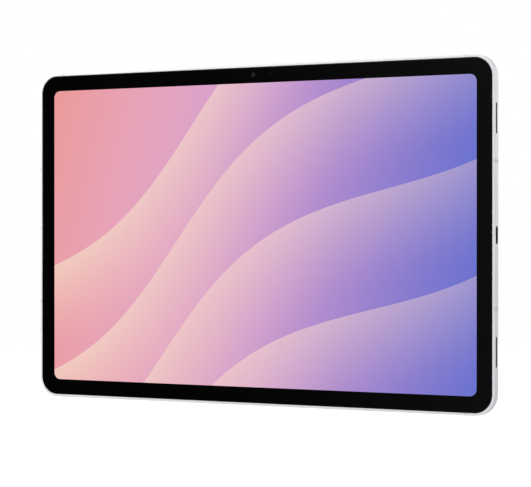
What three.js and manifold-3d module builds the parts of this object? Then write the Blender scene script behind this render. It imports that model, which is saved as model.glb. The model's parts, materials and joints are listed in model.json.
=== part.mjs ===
// Tablet computer with an aluminium shell, as an assembly of its separate pieces.
// Millimetres. The tablet is upright: X runs along its long side, Z is up, the screen faces -Y,
// and the origin is the centre of the back face, which lies in the plane Y = 0.

import * as THREE from 'three';
import { mergeVertices } from 'three/addons/utils/BufferGeometryUtils.js';
import Module from 'manifold-3d';

const wasm = await Module();
wasm.setup();

// ---------- driving dimensions ----------

// Shell
const BODY_WIDTH = 253.8;
const BODY_HEIGHT = 165.3;
const BODY_DEPTH = 5.5;
const BODY_CORNER = 10.2;
const BACK_EDGE = 1.9;
const FRONT_EDGE = 0.4;
const RIM_WIDTH = 1.27;
const RIM_DROP = 0.05;
const WALL = 2.7;
const BACK_WALL = 0.8;

// Stack of sheets, front to back
const GLASS_THICKNESS = 0.65;
const GASKET_THICKNESS = 0.12;
const PANEL_THICKNESS = 0.75;
const DIGITIZER_THICKNESS = 0.15;
const SHEET_GAP = 0.05;
const GLASS_SIDE_GAP = 0.08;
const SCREEN_WIDTH = 235.83;
const SCREEN_HEIGHT = 147.4;

// Edges
const BAND_WIDTH = 1.55;
const SIDE_BAND_OFFSET = 33.65;
const LONG_EDGE_BAND_OFFSET = 112.4;
const SLOT_OFFSET = 53.3;
const SLOT_LENGTH = 14.2;
const SLOT_WIDTH = 1.5;
const SLOT_Y = -3.45;
const PORT_LENGTH = 8.44;
const PORT_WIDTH = 2.7;
const PORT_Y = -2.9;
const KEY_Y = -3.05;
const KEY_WIDTH = 1.9;
const KEY_PROUD = 0.5;
const KEY_CLEARANCE = 0.15;
const VOLUME_KEY_X = -70.6;
const VOLUME_KEY_LENGTH = 20.8;
const POWER_KEY_X = -43.6;
const POWER_KEY_LENGTH = 13.9;
const TRAY_X = 60;
const TRAY_LENGTH = 17.6;
const MICROPHONE_X = -22;
const CONTACT_PITCH = 4.5;

// Back
const CAMERA_X = -113.5;
const CAMERA_Z = 69.3;
const CAMERA_RING_RADIUS = 6.6;
const FLASH_X = -101.2;
const FLASH_RADIUS = 2;
const REAR_MICROPHONE_DROP = 8;
const MICROPHONE_HOLE = 0.5;

// Front camera and light sensor, behind the black border
const FRONT_CAMERA_Z = 77.8;
const SENSOR_X = 9.8;

// Clearances and cutting allowances
const FIT = 0.15;
const BORE_FIT = 0.3;
const PAST = 1;

// Roundness of curves
const CORNER_STEPS = 8;
const END_STEPS = 4;
const ROUND_SIDES = 24;
const SMALL_ROUND_SIDES = 12;
const CAMERA_SIDES = 32;
const BACK_EDGE_STEPS = 6;
const FRONT_EDGE_STEPS = 3;

// ---------- positions that follow from them ----------

const HALF_WIDTH = BODY_WIDTH / 2;
const HALF_HEIGHT = BODY_HEIGHT / 2;
const GLASS_FRONT = -BODY_DEPTH;
const GLASS_BACK = GLASS_FRONT + GLASS_THICKNESS;
const GASKET_FRONT = GLASS_BACK + SHEET_GAP;
const LEDGE_Y = GASKET_FRONT + GASKET_THICKNESS + SHEET_GAP;
const PANEL_FRONT = GLASS_BACK + SHEET_GAP;
const PANEL_BACK = PANEL_FRONT + PANEL_THICKNESS;
const DIGITIZER_FRONT = PANEL_BACK + SHEET_GAP;
const DIGITIZER_BACK = DIGITIZER_FRONT + DIGITIZER_THICKNESS;
const GLASS_WIDTH = BODY_WIDTH - 2 * RIM_WIDTH;
const GLASS_HEIGHT = BODY_HEIGHT - 2 * RIM_WIDTH;
const GLASS_CORNER = BODY_CORNER - RIM_WIDTH;
const CAVITY_HALF_WIDTH = HALF_WIDTH - WALL;
const CAVITY_HALF_HEIGHT = HALF_HEIGHT - WALL;
const INNER_BACK = -BACK_WALL - SHEET_GAP;
const BOARD_FRONT = -2.3;
const BOARD_BACK = -1.5;
const CONNECTOR_FRONT = BOARD_FRONT - 0.45;
const MOUTH_DEPTH = 1.4;

const SCREWS = [
  [-120, 36],
  [-120, -36],
  [-91.5, -36],
  [-91.5, 72],
  [97, 18],
  [115, -30],
];

// ---------- finishes ----------

function finish(color, roughness, metalness) {
  return new THREE.MeshStandardMaterial({ color, roughness, metalness });
}

const aluminium = finish(0xd4d6da, 0.4, 0.9);
const bandPlastic = finish(0xc2c4c7, 0.55, 0);
const blackGlass = finish(0x0b0b0c, 0.06, 0);
const displayStack = finish(0x1a1b20, 0.3, 0);
const adhesive = finish(0x17171a, 0.8, 0);
const steel = finish(0xa7a9ac, 0.35, 1);
const flexFilm = finish(0xb5702a, 0.5, 0);
const boardLaminate = finish(0x12402c, 0.5, 0);
const foil = finish(0x3a3b40, 0.6, 0.2);
const darkPlastic = finish(0x1c1c1f, 0.5, 0);
const gold = finish(0xd9b45a, 0.3, 1);
const lensGlass = finish(0x10131c, 0.05, 0);
const diffuser = finish(0xf1e9c8, 0.4, 0);

// ---------- shapes ----------

// A rectangle with round corners as a list of [x, y], counter-clockwise from the right.
function roundedOutline(width, height, radius, steps) {
  const points = [];
  const isNew = ([x, y]) => points.every(([px, py]) => Math.hypot(x - px, y - py) > 1e-6);
  for (let corner = 0; corner < 4; corner += 1) {
    const sideX = corner === 0 || corner === 3 ? 1 : -1;
    const sideY = corner < 2 ? 1 : -1;
    for (let step = 0; step <= steps; step += 1) {
      const angle = (corner + step / steps) * (Math.PI / 2);
      const point = [
        sideX * (width / 2 - radius) + radius * Math.cos(angle),
        sideY * (height / 2 - radius) + radius * Math.sin(angle),
      ];
      if (isNew(point)) {
        points.push(point);
      }
    }
  }
  return points;
}

// Rounded rectangles stacked along z. Each level is [inset from the outline, z].
function stackedPlate(width, height, radius, levels, steps = END_STEPS) {
  const positions = [];
  let count = 0;
  for (const [inset, z] of levels) {
    const outline = roundedOutline(width - 2 * inset, height - 2 * inset, radius - inset, steps);
    outline.forEach(([x, y]) => positions.push(x, y, z));
    count = outline.length;
  }
  const indices = [];
  for (let level = 0; level < levels.length - 1; level += 1) {
    for (let i = 0; i < count; i += 1) {
      const a = level * count + i;
      const b = level * count + ((i + 1) % count);
      indices.push(a, b, b + count, a, b + count, a + count);
    }
  }
  const top = (levels.length - 1) * count;
  for (let i = 1; i < count - 1; i += 1) {
    indices.push(0, i + 1, i);
    indices.push(top, top + i, top + i + 1);
  }
  const geometry = new THREE.BufferGeometry();
  geometry.setAttribute('position', new THREE.Float32BufferAttribute(positions, 3));
  geometry.setIndex(indices);
  return geometry;
}

// Levels that round an edge: the outline grows from the full inset to none, or back.
function edgeLevels(radius, start, direction, steps) {
  const levels = [];
  for (let step = 0; step <= steps; step += 1) {
    const angle = (step / steps) * (Math.PI / 2);
    const inset = radius * (1 - Math.sin(angle));
    levels.push([inset, start + direction * radius * (1 - Math.cos(angle))]);
  }
  return levels;
}

// A plate parallel to the screen, between two values of y.
function facePlate(width, height, radius, front, back, steps = CORNER_STEPS) {
  const plate = stackedPlate(width, height, radius, [[0, 0], [0, back - front]], steps);
  return plate.rotateX(Math.PI / 2).translate(0, back, 0);
}

// A round-ended bar that runs along x, its outline along Z and Y.
function sideLozenge(length, width, fromX, toX) {
  const bar = stackedPlate(length, width, width / 2, [[0, fromX], [0, toX]]);
  return bar.rotateY(Math.PI / 2);
}

// A round-ended bar that runs along z, its outline along X and Y.
function topLozenge(length, width, fromZ, toZ) {
  return stackedPlate(length, width, width / 2, [[0, fromZ], [0, toZ]]);
}

function block([x0, x1], [y0, y1], [z0, z1]) {
  const box = new THREE.BoxGeometry(x1 - x0, y1 - y0, z1 - z0);
  return box.translate((x0 + x1) / 2, (y0 + y1) / 2, (z0 + z1) / 2);
}

// A disc or rod along Y.
function rodY(radius, front, back, sides = ROUND_SIDES) {
  const rod = new THREE.CylinderGeometry(radius, radius, back - front, sides);
  return rod.translate(0, (front + back) / 2, 0);
}

// A disc or rod along Z.
function rodZ(radius, bottom, top, sides = SMALL_ROUND_SIDES) {
  const rod = new THREE.CylinderGeometry(radius, radius, top - bottom, sides);
  return rod.rotateX(Math.PI / 2).translate(0, 0, (bottom + top) / 2);
}

function turned(profile, sides = ROUND_SIDES) {
  const points = profile.map(([radius, y]) => new THREE.Vector2(radius, y));
  return new THREE.LatheGeometry(points, sides);
}

function polygonAlongZ(points, length) {
  const shape = new THREE.Shape(points.map(([x, y]) => new THREE.Vector2(x, y)));
  const prism = new THREE.ExtrudeGeometry(shape, { depth: length, bevelEnabled: false });
  return prism.translate(0, 0, -length / 2);
}

// ---------- joining and cutting ----------

function toSolid(geometry) {
  const bare = new THREE.BufferGeometry();
  bare.setAttribute('position', geometry.getAttribute('position'));
  bare.setIndex(geometry.getIndex());
  const merged = mergeVertices(bare, 1e-4);
  return new wasm.Manifold(new wasm.Mesh({
    numProp: 3,
    vertProperties: new Float32Array(merged.getAttribute('position').array),
    triVerts: new Uint32Array(merged.getIndex().array),
  }));
}

function toGeometry(solid) {
  const mesh = solid.getMesh();
  const geometry = new THREE.BufferGeometry();
  geometry.setAttribute('position', new THREE.BufferAttribute(mesh.vertProperties, 3));
  geometry.setIndex(new THREE.BufferAttribute(mesh.triVerts, 1));
  return geometry;
}

function join(...geometries) {
  const solids = geometries.map(toSolid);
  return toGeometry(solids.reduce((whole, piece) => whole.add(piece)));
}

function cut(geometry, tools) {
  const solids = tools.map(toSolid);
  return toGeometry(solids.reduce((whole, tool) => whole.subtract(tool), toSolid(geometry)));
}

// ---------- assembly ----------

const tablet = new THREE.Group();

function add(name, geometry, material, [x, y, z] = [0, 0, 0], parent = tablet) {
  const bare = geometry.index ? geometry.toNonIndexed() : geometry;
  bare.computeVertexNormals();
  const mesh = new THREE.Mesh(bare, material);
  mesh.name = name;
  mesh.position.set(x, y, z);
  parent.add(mesh);
  return mesh;
}

// One group per edge of the tablet, turned so that its local +X points out of that edge.
function edgeGroup(turn) {
  const group = new THREE.Group();
  group.rotation.y = turn;
  tablet.add(group);
  return group;
}

const rightEdge = edgeGroup(0);
const topEdge = edgeGroup(-Math.PI / 2);
const leftEdge = edgeGroup(Math.PI);
const bottomEdge = edgeGroup(Math.PI / 2);

// ---------- rear housing ----------

function housingOutside() {
  const back = edgeLevels(BACK_EDGE, 0, 1, BACK_EDGE_STEPS);
  const front = edgeLevels(FRONT_EDGE, BODY_DEPTH - RIM_DROP, -1, FRONT_EDGE_STEPS).reverse();
  const outside = stackedPlate(BODY_WIDTH, BODY_HEIGHT, BODY_CORNER, [...back, ...front], CORNER_STEPS);
  return outside.rotateX(Math.PI / 2);
}

function housingHollows() {
  const pocketWidth = GLASS_WIDTH + 2 * GLASS_SIDE_GAP;
  const pocketHeight = GLASS_HEIGHT + 2 * GLASS_SIDE_GAP;
  const pocketCorner = GLASS_CORNER + GLASS_SIDE_GAP;
  const cavityCorner = BODY_CORNER - WALL;
  return [
    facePlate(pocketWidth, pocketHeight, pocketCorner, -BODY_DEPTH - PAST, LEDGE_Y),
    facePlate(2 * CAVITY_HALF_WIDTH, 2 * CAVITY_HALF_HEIGHT, cavityCorner, LEDGE_Y - PAST, -BACK_WALL),
  ];
}

function ordered(a, b) {
  return [Math.min(a, b), Math.max(a, b)];
}

// Channels for the antenna bands, open to the outside of each wall.
function bandChannels() {
  const depth = BACK_EDGE + SHEET_GAP;
  const half = BAND_WIDTH / 2 + SHEET_GAP;
  const throughY = [-BODY_DEPTH - PAST, PAST];
  const channels = [];
  for (const side of [-1, 1]) {
    for (const end of [-1, 1]) {
      const sideZ = end * SIDE_BAND_OFFSET;
      const sideX = ordered(side * (HALF_WIDTH - depth), side * (HALF_WIDTH + PAST));
      channels.push(block(sideX, throughY, [sideZ - half, sideZ + half]));
      const longX = end * LONG_EDGE_BAND_OFFSET;
      const longZ = ordered(side * (HALF_HEIGHT - depth), side * (HALF_HEIGHT + PAST));
      channels.push(block([longX - half, longX + half], throughY, longZ));
    }
  }
  return channels;
}

function speakerOpenings() {
  const openings = [];
  for (const side of [-1, 1]) {
    for (const end of [-1, 1]) {
      const [from, to] = ordered(side * (CAVITY_HALF_WIDTH - PAST), side * (HALF_WIDTH + PAST));
      const slot = sideLozenge(SLOT_LENGTH, SLOT_WIDTH, from, to);
      openings.push(slot.translate(0, SLOT_Y, end * SLOT_OFFSET));
    }
  }
  return openings;
}

const PORT_DEPTH = 5.7;
const SHELL_FRONT_X = HALF_WIDTH - MOUTH_DEPTH;
const SHELL_BACK_X = SHELL_FRONT_X - PORT_DEPTH;
const SHELL_LENGTH = PORT_LENGTH + 0.3;
const SHELL_WIDTH = PORT_WIDTH + 0.26;

function portOpenings() {
  const mouth = sideLozenge(PORT_LENGTH, PORT_WIDTH, SHELL_FRONT_X - 0.5, HALF_WIDTH + PAST);
  const seat = sideLozenge(
    SHELL_LENGTH + 2 * FIT,
    SHELL_WIDTH + 2 * FIT,
    CAVITY_HALF_WIDTH - PAST,
    SHELL_FRONT_X + 0.1,
  );
  return [mouth, seat].map((hole) => hole.translate(0, PORT_Y, 0));
}

function topOpenings() {
  const from = CAVITY_HALF_HEIGHT - PAST;
  const to = HALF_HEIGHT + PAST;
  const around = 2 * KEY_CLEARANCE;
  const width = KEY_WIDTH + around;
  return [
    topLozenge(VOLUME_KEY_LENGTH + around, width, from, to).translate(VOLUME_KEY_X, KEY_Y, 0),
    topLozenge(POWER_KEY_LENGTH + around, width, from, to).translate(POWER_KEY_X, KEY_Y, 0),
    topLozenge(TRAY_LENGTH + around, width, from, to).translate(TRAY_X, KEY_Y, 0),
    rodZ(MICROPHONE_HOLE, from, to).translate(MICROPHONE_X, KEY_Y, 0),
  ];
}

const CONTACT_BLOCK_LENGTH = 16;
const CONTACT_BLOCK_WIDTH = 2.6;
const CONTACT_Y = -2.9;

function bottomOpening() {
  const slot = topLozenge(
    CONTACT_BLOCK_LENGTH + 2 * FIT,
    CONTACT_BLOCK_WIDTH + 2 * FIT,
    -HALF_HEIGHT - PAST,
    -CAVITY_HALF_HEIGHT + PAST,
  );
  return slot.translate(0, CONTACT_Y, 0);
}

// A round hole through the back wall.
function backHole(radius, x, z, sides) {
  return rodY(radius, -BACK_WALL - PAST, PAST, sides).translate(x, 0, z);
}

function backOpenings() {
  return [
    backHole(CAMERA_RING_RADIUS + BORE_FIT, CAMERA_X, CAMERA_Z, CAMERA_SIDES),
    backHole(FLASH_RADIUS + BORE_FIT, FLASH_X, CAMERA_Z, ROUND_SIDES),
    backHole(MICROPHONE_HOLE, FLASH_X, CAMERA_Z - REAR_MICROPHONE_DROP, SMALL_ROUND_SIDES),
  ];
}

const BOSS_RADIUS = 1.9;
const BOSS_TOP = BOARD_BACK + SHEET_GAP;
const SCREW_SHANK = 0.6;
const SCREW_HOLE = SCREW_SHANK + 0.35;
const SCREW_END = -1;

function housing() {
  const shell = cut(housingOutside(), [
    ...housingHollows(),
    ...bandChannels(),
    ...speakerOpenings(),
    ...portOpenings(),
    ...topOpenings(),
    bottomOpening(),
    ...backOpenings(),
  ]);
  const bosses = SCREWS.map(([x, z]) => rodY(BOSS_RADIUS, BOSS_TOP, -BACK_WALL + 0.1, SMALL_ROUND_SIDES)
    .translate(x, 0, z));
  const bores = SCREWS.map(([x, z]) => rodY(SCREW_HOLE, BOSS_TOP - PAST, SCREW_END + 0.1, SMALL_ROUND_SIDES)
    .translate(x, 0, z));
  return cut(join(shell, ...bosses), bores);
}

add('rear_housing', housing(), aluminium);

// ---------- antenna bands ----------

// Section of the wall from the rim round to the back face, with x = 0 at the outside of the wall.
function bandSection() {
  const rimInner = -RIM_WIDTH + GLASS_SIDE_GAP;
  const section = [[rimInner, -BODY_DEPTH + RIM_DROP]];
  for (const [inset, forward] of edgeLevels(FRONT_EDGE, BODY_DEPTH - RIM_DROP, -1, FRONT_EDGE_STEPS)) {
    section.push([-inset, -forward]);
  }
  for (const [inset, forward] of edgeLevels(BACK_EDGE, 0, 1, BACK_EDGE_STEPS).reverse()) {
    section.push([-inset, -forward]);
  }
  section.push([-BACK_EDGE, LEDGE_Y]);
  section.push([rimInner, LEDGE_Y]);
  return section;
}

const BANDS = [
  ['band_right_upper', rightEdge, HALF_WIDTH, SIDE_BAND_OFFSET],
  ['band_right_lower', rightEdge, HALF_WIDTH, -SIDE_BAND_OFFSET],
  ['band_left_upper', leftEdge, HALF_WIDTH, -SIDE_BAND_OFFSET],
  ['band_left_lower', leftEdge, HALF_WIDTH, SIDE_BAND_OFFSET],
  ['band_top_left', topEdge, HALF_HEIGHT, LONG_EDGE_BAND_OFFSET],
  ['band_top_right', topEdge, HALF_HEIGHT, -LONG_EDGE_BAND_OFFSET],
  ['band_bottom_left', bottomEdge, HALF_HEIGHT, -LONG_EDGE_BAND_OFFSET],
  ['band_bottom_right', bottomEdge, HALF_HEIGHT, LONG_EDGE_BAND_OFFSET],
];

for (const [name, edge, outward, along] of BANDS) {
  add(name, polygonAlongZ(bandSection(), BAND_WIDTH), bandPlastic, [outward, 0, along], edge);
}

// ---------- front stack ----------

add(
  'cover_glass',
  facePlate(GLASS_WIDTH, GLASS_HEIGHT, GLASS_CORNER, GLASS_FRONT, GLASS_BACK),
  blackGlass,
);

function gasket() {
  const inset = 0.35;
  const ringWidth = 0.95;
  const outerWidth = GLASS_WIDTH - 2 * inset;
  const outerHeight = GLASS_HEIGHT - 2 * inset;
  const corner = GLASS_CORNER - inset;
  const back = GASKET_FRONT + GASKET_THICKNESS;
  const sheet = facePlate(outerWidth, outerHeight, corner, GASKET_FRONT, back);
  const hole = facePlate(
    outerWidth - 2 * ringWidth,
    outerHeight - 2 * ringWidth,
    corner - ringWidth,
    GASKET_FRONT - PAST,
    back + PAST,
  );
  return cut(sheet, [hole]);
}

add('display_gasket', gasket(), adhesive);

const PANEL_WIDTH = SCREEN_WIDTH + 2;
const PANEL_HEIGHT = SCREEN_HEIGHT + 1.6;
const PANEL_CORNER = 4;
const DIGITIZER_WIDTH = PANEL_WIDTH - 1.4;
const DIGITIZER_HEIGHT = PANEL_HEIGHT - 0.8;

add(
  'display_panel',
  facePlate(PANEL_WIDTH, PANEL_HEIGHT, PANEL_CORNER, PANEL_FRONT, PANEL_BACK, END_STEPS),
  displayStack,
);
add(
  'digitizer_sheet',
  facePlate(DIGITIZER_WIDTH, DIGITIZER_HEIGHT, PANEL_CORNER, DIGITIZER_FRONT, DIGITIZER_BACK, END_STEPS),
  flexFilm,
);

// Ribbon that folds back from the panel's left end to the main board.
function displayFlex() {
  const thickness = 0.15;
  const outerRadius = 0.85;
  const foldSteps = 8;
  const ribbonWidth = 24;
  const foldX = -PANEL_WIDTH / 2 - 0.5;
  const panelEndX = foldX + 0.45;
  const boardEndX = foldX + 6;
  const centreY = BOARD_FRONT - 1.35;
  const section = [];
  const arc = (radius, from, to) => {
    for (let step = 0; step <= foldSteps; step += 1) {
      const angle = from + ((to - from) * step) / foldSteps;
      section.push([foldX - radius * Math.sin(angle), centreY - radius * Math.cos(angle)]);
    }
  };
  section.push([panelEndX, centreY - outerRadius]);
  arc(outerRadius, 0, Math.PI);
  section.push([boardEndX, centreY + outerRadius]);
  section.push([boardEndX, centreY + outerRadius - thickness]);
  arc(outerRadius - thickness, Math.PI, 0);
  section.push([panelEndX, centreY - outerRadius + thickness]);
  return polygonAlongZ(section, ribbonWidth);
}

add('display_flex', displayFlex(), flexFilm);

// ---------- keys and their switches ----------

const KEY_TOP = HALF_HEIGHT + KEY_PROUD;
const VOLUME_FOOT = CAVITY_HALF_HEIGHT - 0.95;
const POWER_FOOT = CAVITY_HALF_HEIGHT - 0.6;
const EAR_LENGTH = 1.1;
const EAR_HEIGHT = 0.5;

// A round-ended key with a softened top and an ear at each end that holds it in the wall.
function key(length, foot) {
  const bevel = 0.3;
  const levels = [[0, foot], [0, KEY_TOP - bevel], [0.1, KEY_TOP - 0.1], [bevel, KEY_TOP]];
  const cap = stackedPlate(length, KEY_WIDTH, KEY_WIDTH / 2, levels);
  const reach = length / 2 + EAR_LENGTH;
  const ears = block([-reach, reach], [-KEY_WIDTH / 2, KEY_WIDTH / 2], [foot, foot + EAR_HEIGHT]);
  return join(cap, ears);
}

add('volume_key', key(VOLUME_KEY_LENGTH, VOLUME_FOOT), aluminium, [VOLUME_KEY_X, KEY_Y, 0]);
add('power_key', key(POWER_KEY_LENGTH, POWER_FOOT), aluminium, [POWER_KEY_X, KEY_Y, 0]);

const FILM = 0.15;
const KEY_FLEX_BOTTOM = CAVITY_HALF_HEIGHT - 1.75;
const KEY_FLEX_TOP = KEY_FLEX_BOTTOM + FILM;
const KEY_FLEX_START = -100;
const KEY_FLEX_BACK = BOARD_FRONT - SHEET_GAP;
const SWITCH_BOTTOM = KEY_FLEX_TOP + SHEET_GAP;
const MICROPHONE_HEIGHT = 1.2;

// A strip on edge under the keys, with a tab that turns down to the main board.
function keyFlex() {
  const stripY = [KEY_FLEX_BACK - 1.4, KEY_FLEX_BACK];
  const strip = block([KEY_FLEX_START, MICROPHONE_X + 4], stripY, [KEY_FLEX_BOTTOM, KEY_FLEX_TOP]);
  const tabX = [KEY_FLEX_START, KEY_FLEX_START + 4];
  const tab = block(tabX, [KEY_FLEX_BACK - FILM, KEY_FLEX_BACK], [70, KEY_FLEX_TOP]);
  return join(strip, tab);
}

function keySwitch(top) {
  return block([-1.6, 1.6], [-0.65, 0.65], [SWITCH_BOTTOM, top]);
}

add('key_flex', keyFlex(), flexFilm);

const SWITCH_Y = KEY_Y;
const VOLUME_SWITCH_SPREAD = 7;
const VOLUME_SWITCH_TOP = VOLUME_FOOT - 0.17;
const POWER_SWITCH_TOP = POWER_FOOT - 0.32;

const SWITCHES = [
  ['volume_up_switch', VOLUME_SWITCH_TOP, VOLUME_KEY_X + VOLUME_SWITCH_SPREAD],
  ['volume_down_switch', VOLUME_SWITCH_TOP, VOLUME_KEY_X - VOLUME_SWITCH_SPREAD],
  ['power_switch', POWER_SWITCH_TOP, POWER_KEY_X],
];

for (const [name, top, x] of SWITCHES) {
  add(name, keySwitch(top), steel, [x, SWITCH_Y, 0]);
}
add(
  'microphone',
  block([-1.8, 1.8], [-0.7, 0.7], [SWITCH_BOTTOM, SWITCH_BOTTOM + MICROPHONE_HEIGHT]),
  steel,
  [MICROPHONE_X, SWITCH_Y, 0],
);

// ---------- card tray and reader ----------

const TRAY_FACE_BOTTOM = HALF_HEIGHT - 1.65;
const TRAY_FACE_TOP = HALF_HEIGHT - 0.04;
const TRAY_BOTTOM = 60.3;
const TRAY_THICKNESS = 1;
const TRAY_BLADE_HALF = 8;
const CARD_HALF_WIDTH = 5.8;
const CARD_LENGTH = 15.5;
const EJECT_HOLE_X = 7;
const EJECT_HOLE = 0.45;
const READER_FRONT = DIGITIZER_BACK + 0.07;
const READER_BACK = -1.6;
const READER_BOTTOM = 58;

function cardTray() {
  const face = topLozenge(TRAY_LENGTH, KEY_WIDTH, TRAY_FACE_BOTTOM, TRAY_FACE_TOP);
  const halfThickness = TRAY_THICKNESS / 2;
  const throughY = [-TRAY_THICKNESS, TRAY_THICKNESS];
  const blade = block(
    [-TRAY_BLADE_HALF, TRAY_BLADE_HALF],
    [-halfThickness, halfThickness],
    [TRAY_BOTTOM, TRAY_FACE_BOTTOM + 0.1],
  );
  const seatBottom = TRAY_BOTTOM + 2;
  const cardSeat = block(
    [-CARD_HALF_WIDTH, CARD_HALF_WIDTH],
    throughY,
    [seatBottom, seatBottom + CARD_LENGTH],
  );
  const ejectHole = rodZ(EJECT_HOLE, TRAY_FACE_BOTTOM - PAST, HALF_HEIGHT + PAST)
    .translate(EJECT_HOLE_X, 0.2, 0);
  const ejectGap = block(
    [CARD_HALF_WIDTH, TRAY_BLADE_HALF + PAST],
    throughY,
    [TRAY_FACE_BOTTOM - 1.2, TRAY_FACE_BOTTOM],
  );
  return cut(join(face, blade), [cardSeat, ejectGap, ejectHole]);
}

// A pressed steel box, open at the top, that the tray slides into.
function cardReader() {
  const innerHalf = TRAY_BLADE_HALF + BORE_FIT;
  const outerHalf = innerHalf + 0.8;
  const outside = block(
    [-outerHalf, outerHalf],
    [READER_FRONT, READER_BACK],
    [READER_BOTTOM, CAVITY_HALF_HEIGHT - 0.6],
  );
  const inside = block(
    [-innerHalf, innerHalf],
    [READER_FRONT + 0.15, KEY_Y + 0.7],
    [READER_BOTTOM + 1, CAVITY_HALF_HEIGHT + PAST],
  );
  return cut(outside, [inside]);
}

add('card_tray', cardTray(), aluminium, [TRAY_X, KEY_Y, 0]);
add('card_reader', cardReader(), steel, [TRAY_X, 0, 0]);

// ---------- port ----------

function portShell() {
  const thickness = 0.2;
  const tube = sideLozenge(SHELL_LENGTH, SHELL_WIDTH, SHELL_BACK_X, SHELL_FRONT_X);
  const inside = sideLozenge(
    SHELL_LENGTH - 2 * thickness,
    SHELL_WIDTH - 2 * thickness,
    SHELL_BACK_X - PAST,
    SHELL_FRONT_X + PAST,
  );
  return cut(tube, [inside]);
}

// The contact blade in the middle of the port, on a base that closes the shell's inner end.
function portTongue() {
  const baseGap = 0.8;
  const halfThickness = 0.35;
  const halfLength = 3.3;
  const base = sideLozenge(
    SHELL_LENGTH - baseGap,
    SHELL_WIDTH - baseGap,
    SHELL_BACK_X + 0.1,
    SHELL_BACK_X + 1.2,
  );
  const blade = block(
    [SHELL_BACK_X + 1, SHELL_FRONT_X - 0.5],
    [-halfThickness, halfThickness],
    [-halfLength, halfLength],
  );
  return join(base, blade);
}

add('port_shell', portShell(), steel, [0, PORT_Y, 0]);
add('port_tongue', portTongue(), darkPlastic, [0, PORT_Y, 0]);

// ---------- speakers ----------

const SPEAKER_DEPTH_X = 19;
const SPEAKER_WIDTH_Z = 18.6;
const SPEAKER_FRONT = -3.75;
const SPEAKER_BACK = INNER_BACK - 0.05;
const SPEAKER_CORNER = 1.5;
const DIAPHRAGM_RADIUS = 6;

// A closed sound box with bevelled edges and a round recess for its diaphragm.
function speaker() {
  const height = SPEAKER_BACK - SPEAKER_FRONT;
  const levels = [[0.3, 0], [0, 0.3], [0, height - 0.4], [0.4, height]];
  const body = stackedPlate(SPEAKER_DEPTH_X, SPEAKER_WIDTH_Z, SPEAKER_CORNER, levels);
  const diaphragm = rodY(DIAPHRAGM_RADIUS, SPEAKER_FRONT - PAST, SPEAKER_FRONT + 0.4);
  return cut(body.rotateX(Math.PI / 2).translate(0, SPEAKER_BACK, 0), [diaphragm]);
}

const GRILLE_THICKNESS = 0.25;
const GRILLE_X = HALF_WIDTH - MOUTH_DEPTH;

function grille() {
  return sideLozenge(SLOT_LENGTH - 0.2, SLOT_WIDTH - 0.2, 0, GRILLE_THICKNESS);
}

const SPEAKER_X = CAVITY_HALF_WIDTH - 0.1 - SPEAKER_DEPTH_X / 2;

const SPEAKERS = [
  ['right_upper', rightEdge, SLOT_OFFSET],
  ['right_lower', rightEdge, -SLOT_OFFSET],
  ['left_upper', leftEdge, -SLOT_OFFSET],
  ['left_lower', leftEdge, SLOT_OFFSET],
];

for (const [corner, edge, along] of SPEAKERS) {
  add(`speaker_${corner}`, speaker(), darkPlastic, [SPEAKER_X, 0, along], edge);
  add(`grille_${corner}`, grille(), steel, [GRILLE_X, SLOT_Y, along], edge);
}

// ---------- rear camera and flash ----------

const RING_INNER = CAMERA_RING_RADIUS - 1.3;
const RING_BOTTOM = -0.7;
const RING_TOP = 1.15;
const RING_OUTER_CHAMFER = 0.25;
const RING_INNER_CHAMFER = 0.2;
const LENS_BARREL_RADIUS = 4.2;

const ringProfile = [
  [RING_INNER, RING_BOTTOM],
  [CAMERA_RING_RADIUS, RING_BOTTOM],
  [CAMERA_RING_RADIUS, RING_TOP - RING_OUTER_CHAMFER],
  [CAMERA_RING_RADIUS - RING_OUTER_CHAMFER, RING_TOP],
  [RING_INNER + RING_INNER_CHAMFER, RING_TOP],
  [RING_INNER, RING_TOP - RING_INNER_CHAMFER],
  [RING_INNER, RING_BOTTOM],
];

function cameraModule() {
  const half = 5.5;
  const base = block([-half, half], [SPEAKER_FRONT, INNER_BACK - 0.1], [-half, half]);
  return join(base, rodY(LENS_BARREL_RADIUS, -1.2, 0.2));
}

function cameraGlass() {
  return rodY(RING_INNER - BORE_FIT, 0.3, 0.9, CAMERA_SIDES);
}

const REAR_CAMERA = [CAMERA_X, 0, CAMERA_Z];

add('rear_camera_ring', turned(ringProfile, CAMERA_SIDES), aluminium, REAR_CAMERA);
add('rear_camera_glass', cameraGlass(), lensGlass, REAR_CAMERA);
add('rear_camera_module', cameraModule(), darkPlastic, REAR_CAMERA);
add('flash_lens', rodY(FLASH_RADIUS, -0.75, -0.02), diffuser, [FLASH_X, 0, CAMERA_Z]);

// ---------- front camera and light sensor ----------

function frontCamera() {
  const base = block([-2.9, 2.9], [-4.65, -1.6], [-2.55, 1.95]);
  const barrel = rodY(1.8, GLASS_BACK + SHEET_GAP, -4.4);
  return join(base, barrel);
}

function lightSensor() {
  return block([-1.3, 1.3], [-4.75, -3.9], [-0.8, 1.4]);
}

add('front_camera', frontCamera(), darkPlastic, [0, 0, FRONT_CAMERA_Z]);
add('light_sensor', lightSensor(), darkPlastic, [SENSOR_X, 0, FRONT_CAMERA_Z]);

// ---------- battery ----------

const CELL_WIDTH = 83;
const CELL_HEIGHT = 122;
const CELL_CENTRE_Z = -9;
const CELL_FRONT = -3.55;
const CELL_BACK = INNER_BACK - 0.1;
const CELL_CORNER = 2.5;
const CELL_BEVEL = 0.5;
const HALF_CELL_GAP = 1;

function batteryCell() {
  const height = CELL_BACK - CELL_FRONT;
  const levels = [[CELL_BEVEL, 0], [0, CELL_BEVEL], [0, height - CELL_BEVEL], [CELL_BEVEL, height]];
  return stackedPlate(CELL_WIDTH, CELL_HEIGHT, CELL_CORNER, levels).rotateX(Math.PI / 2);
}

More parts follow.
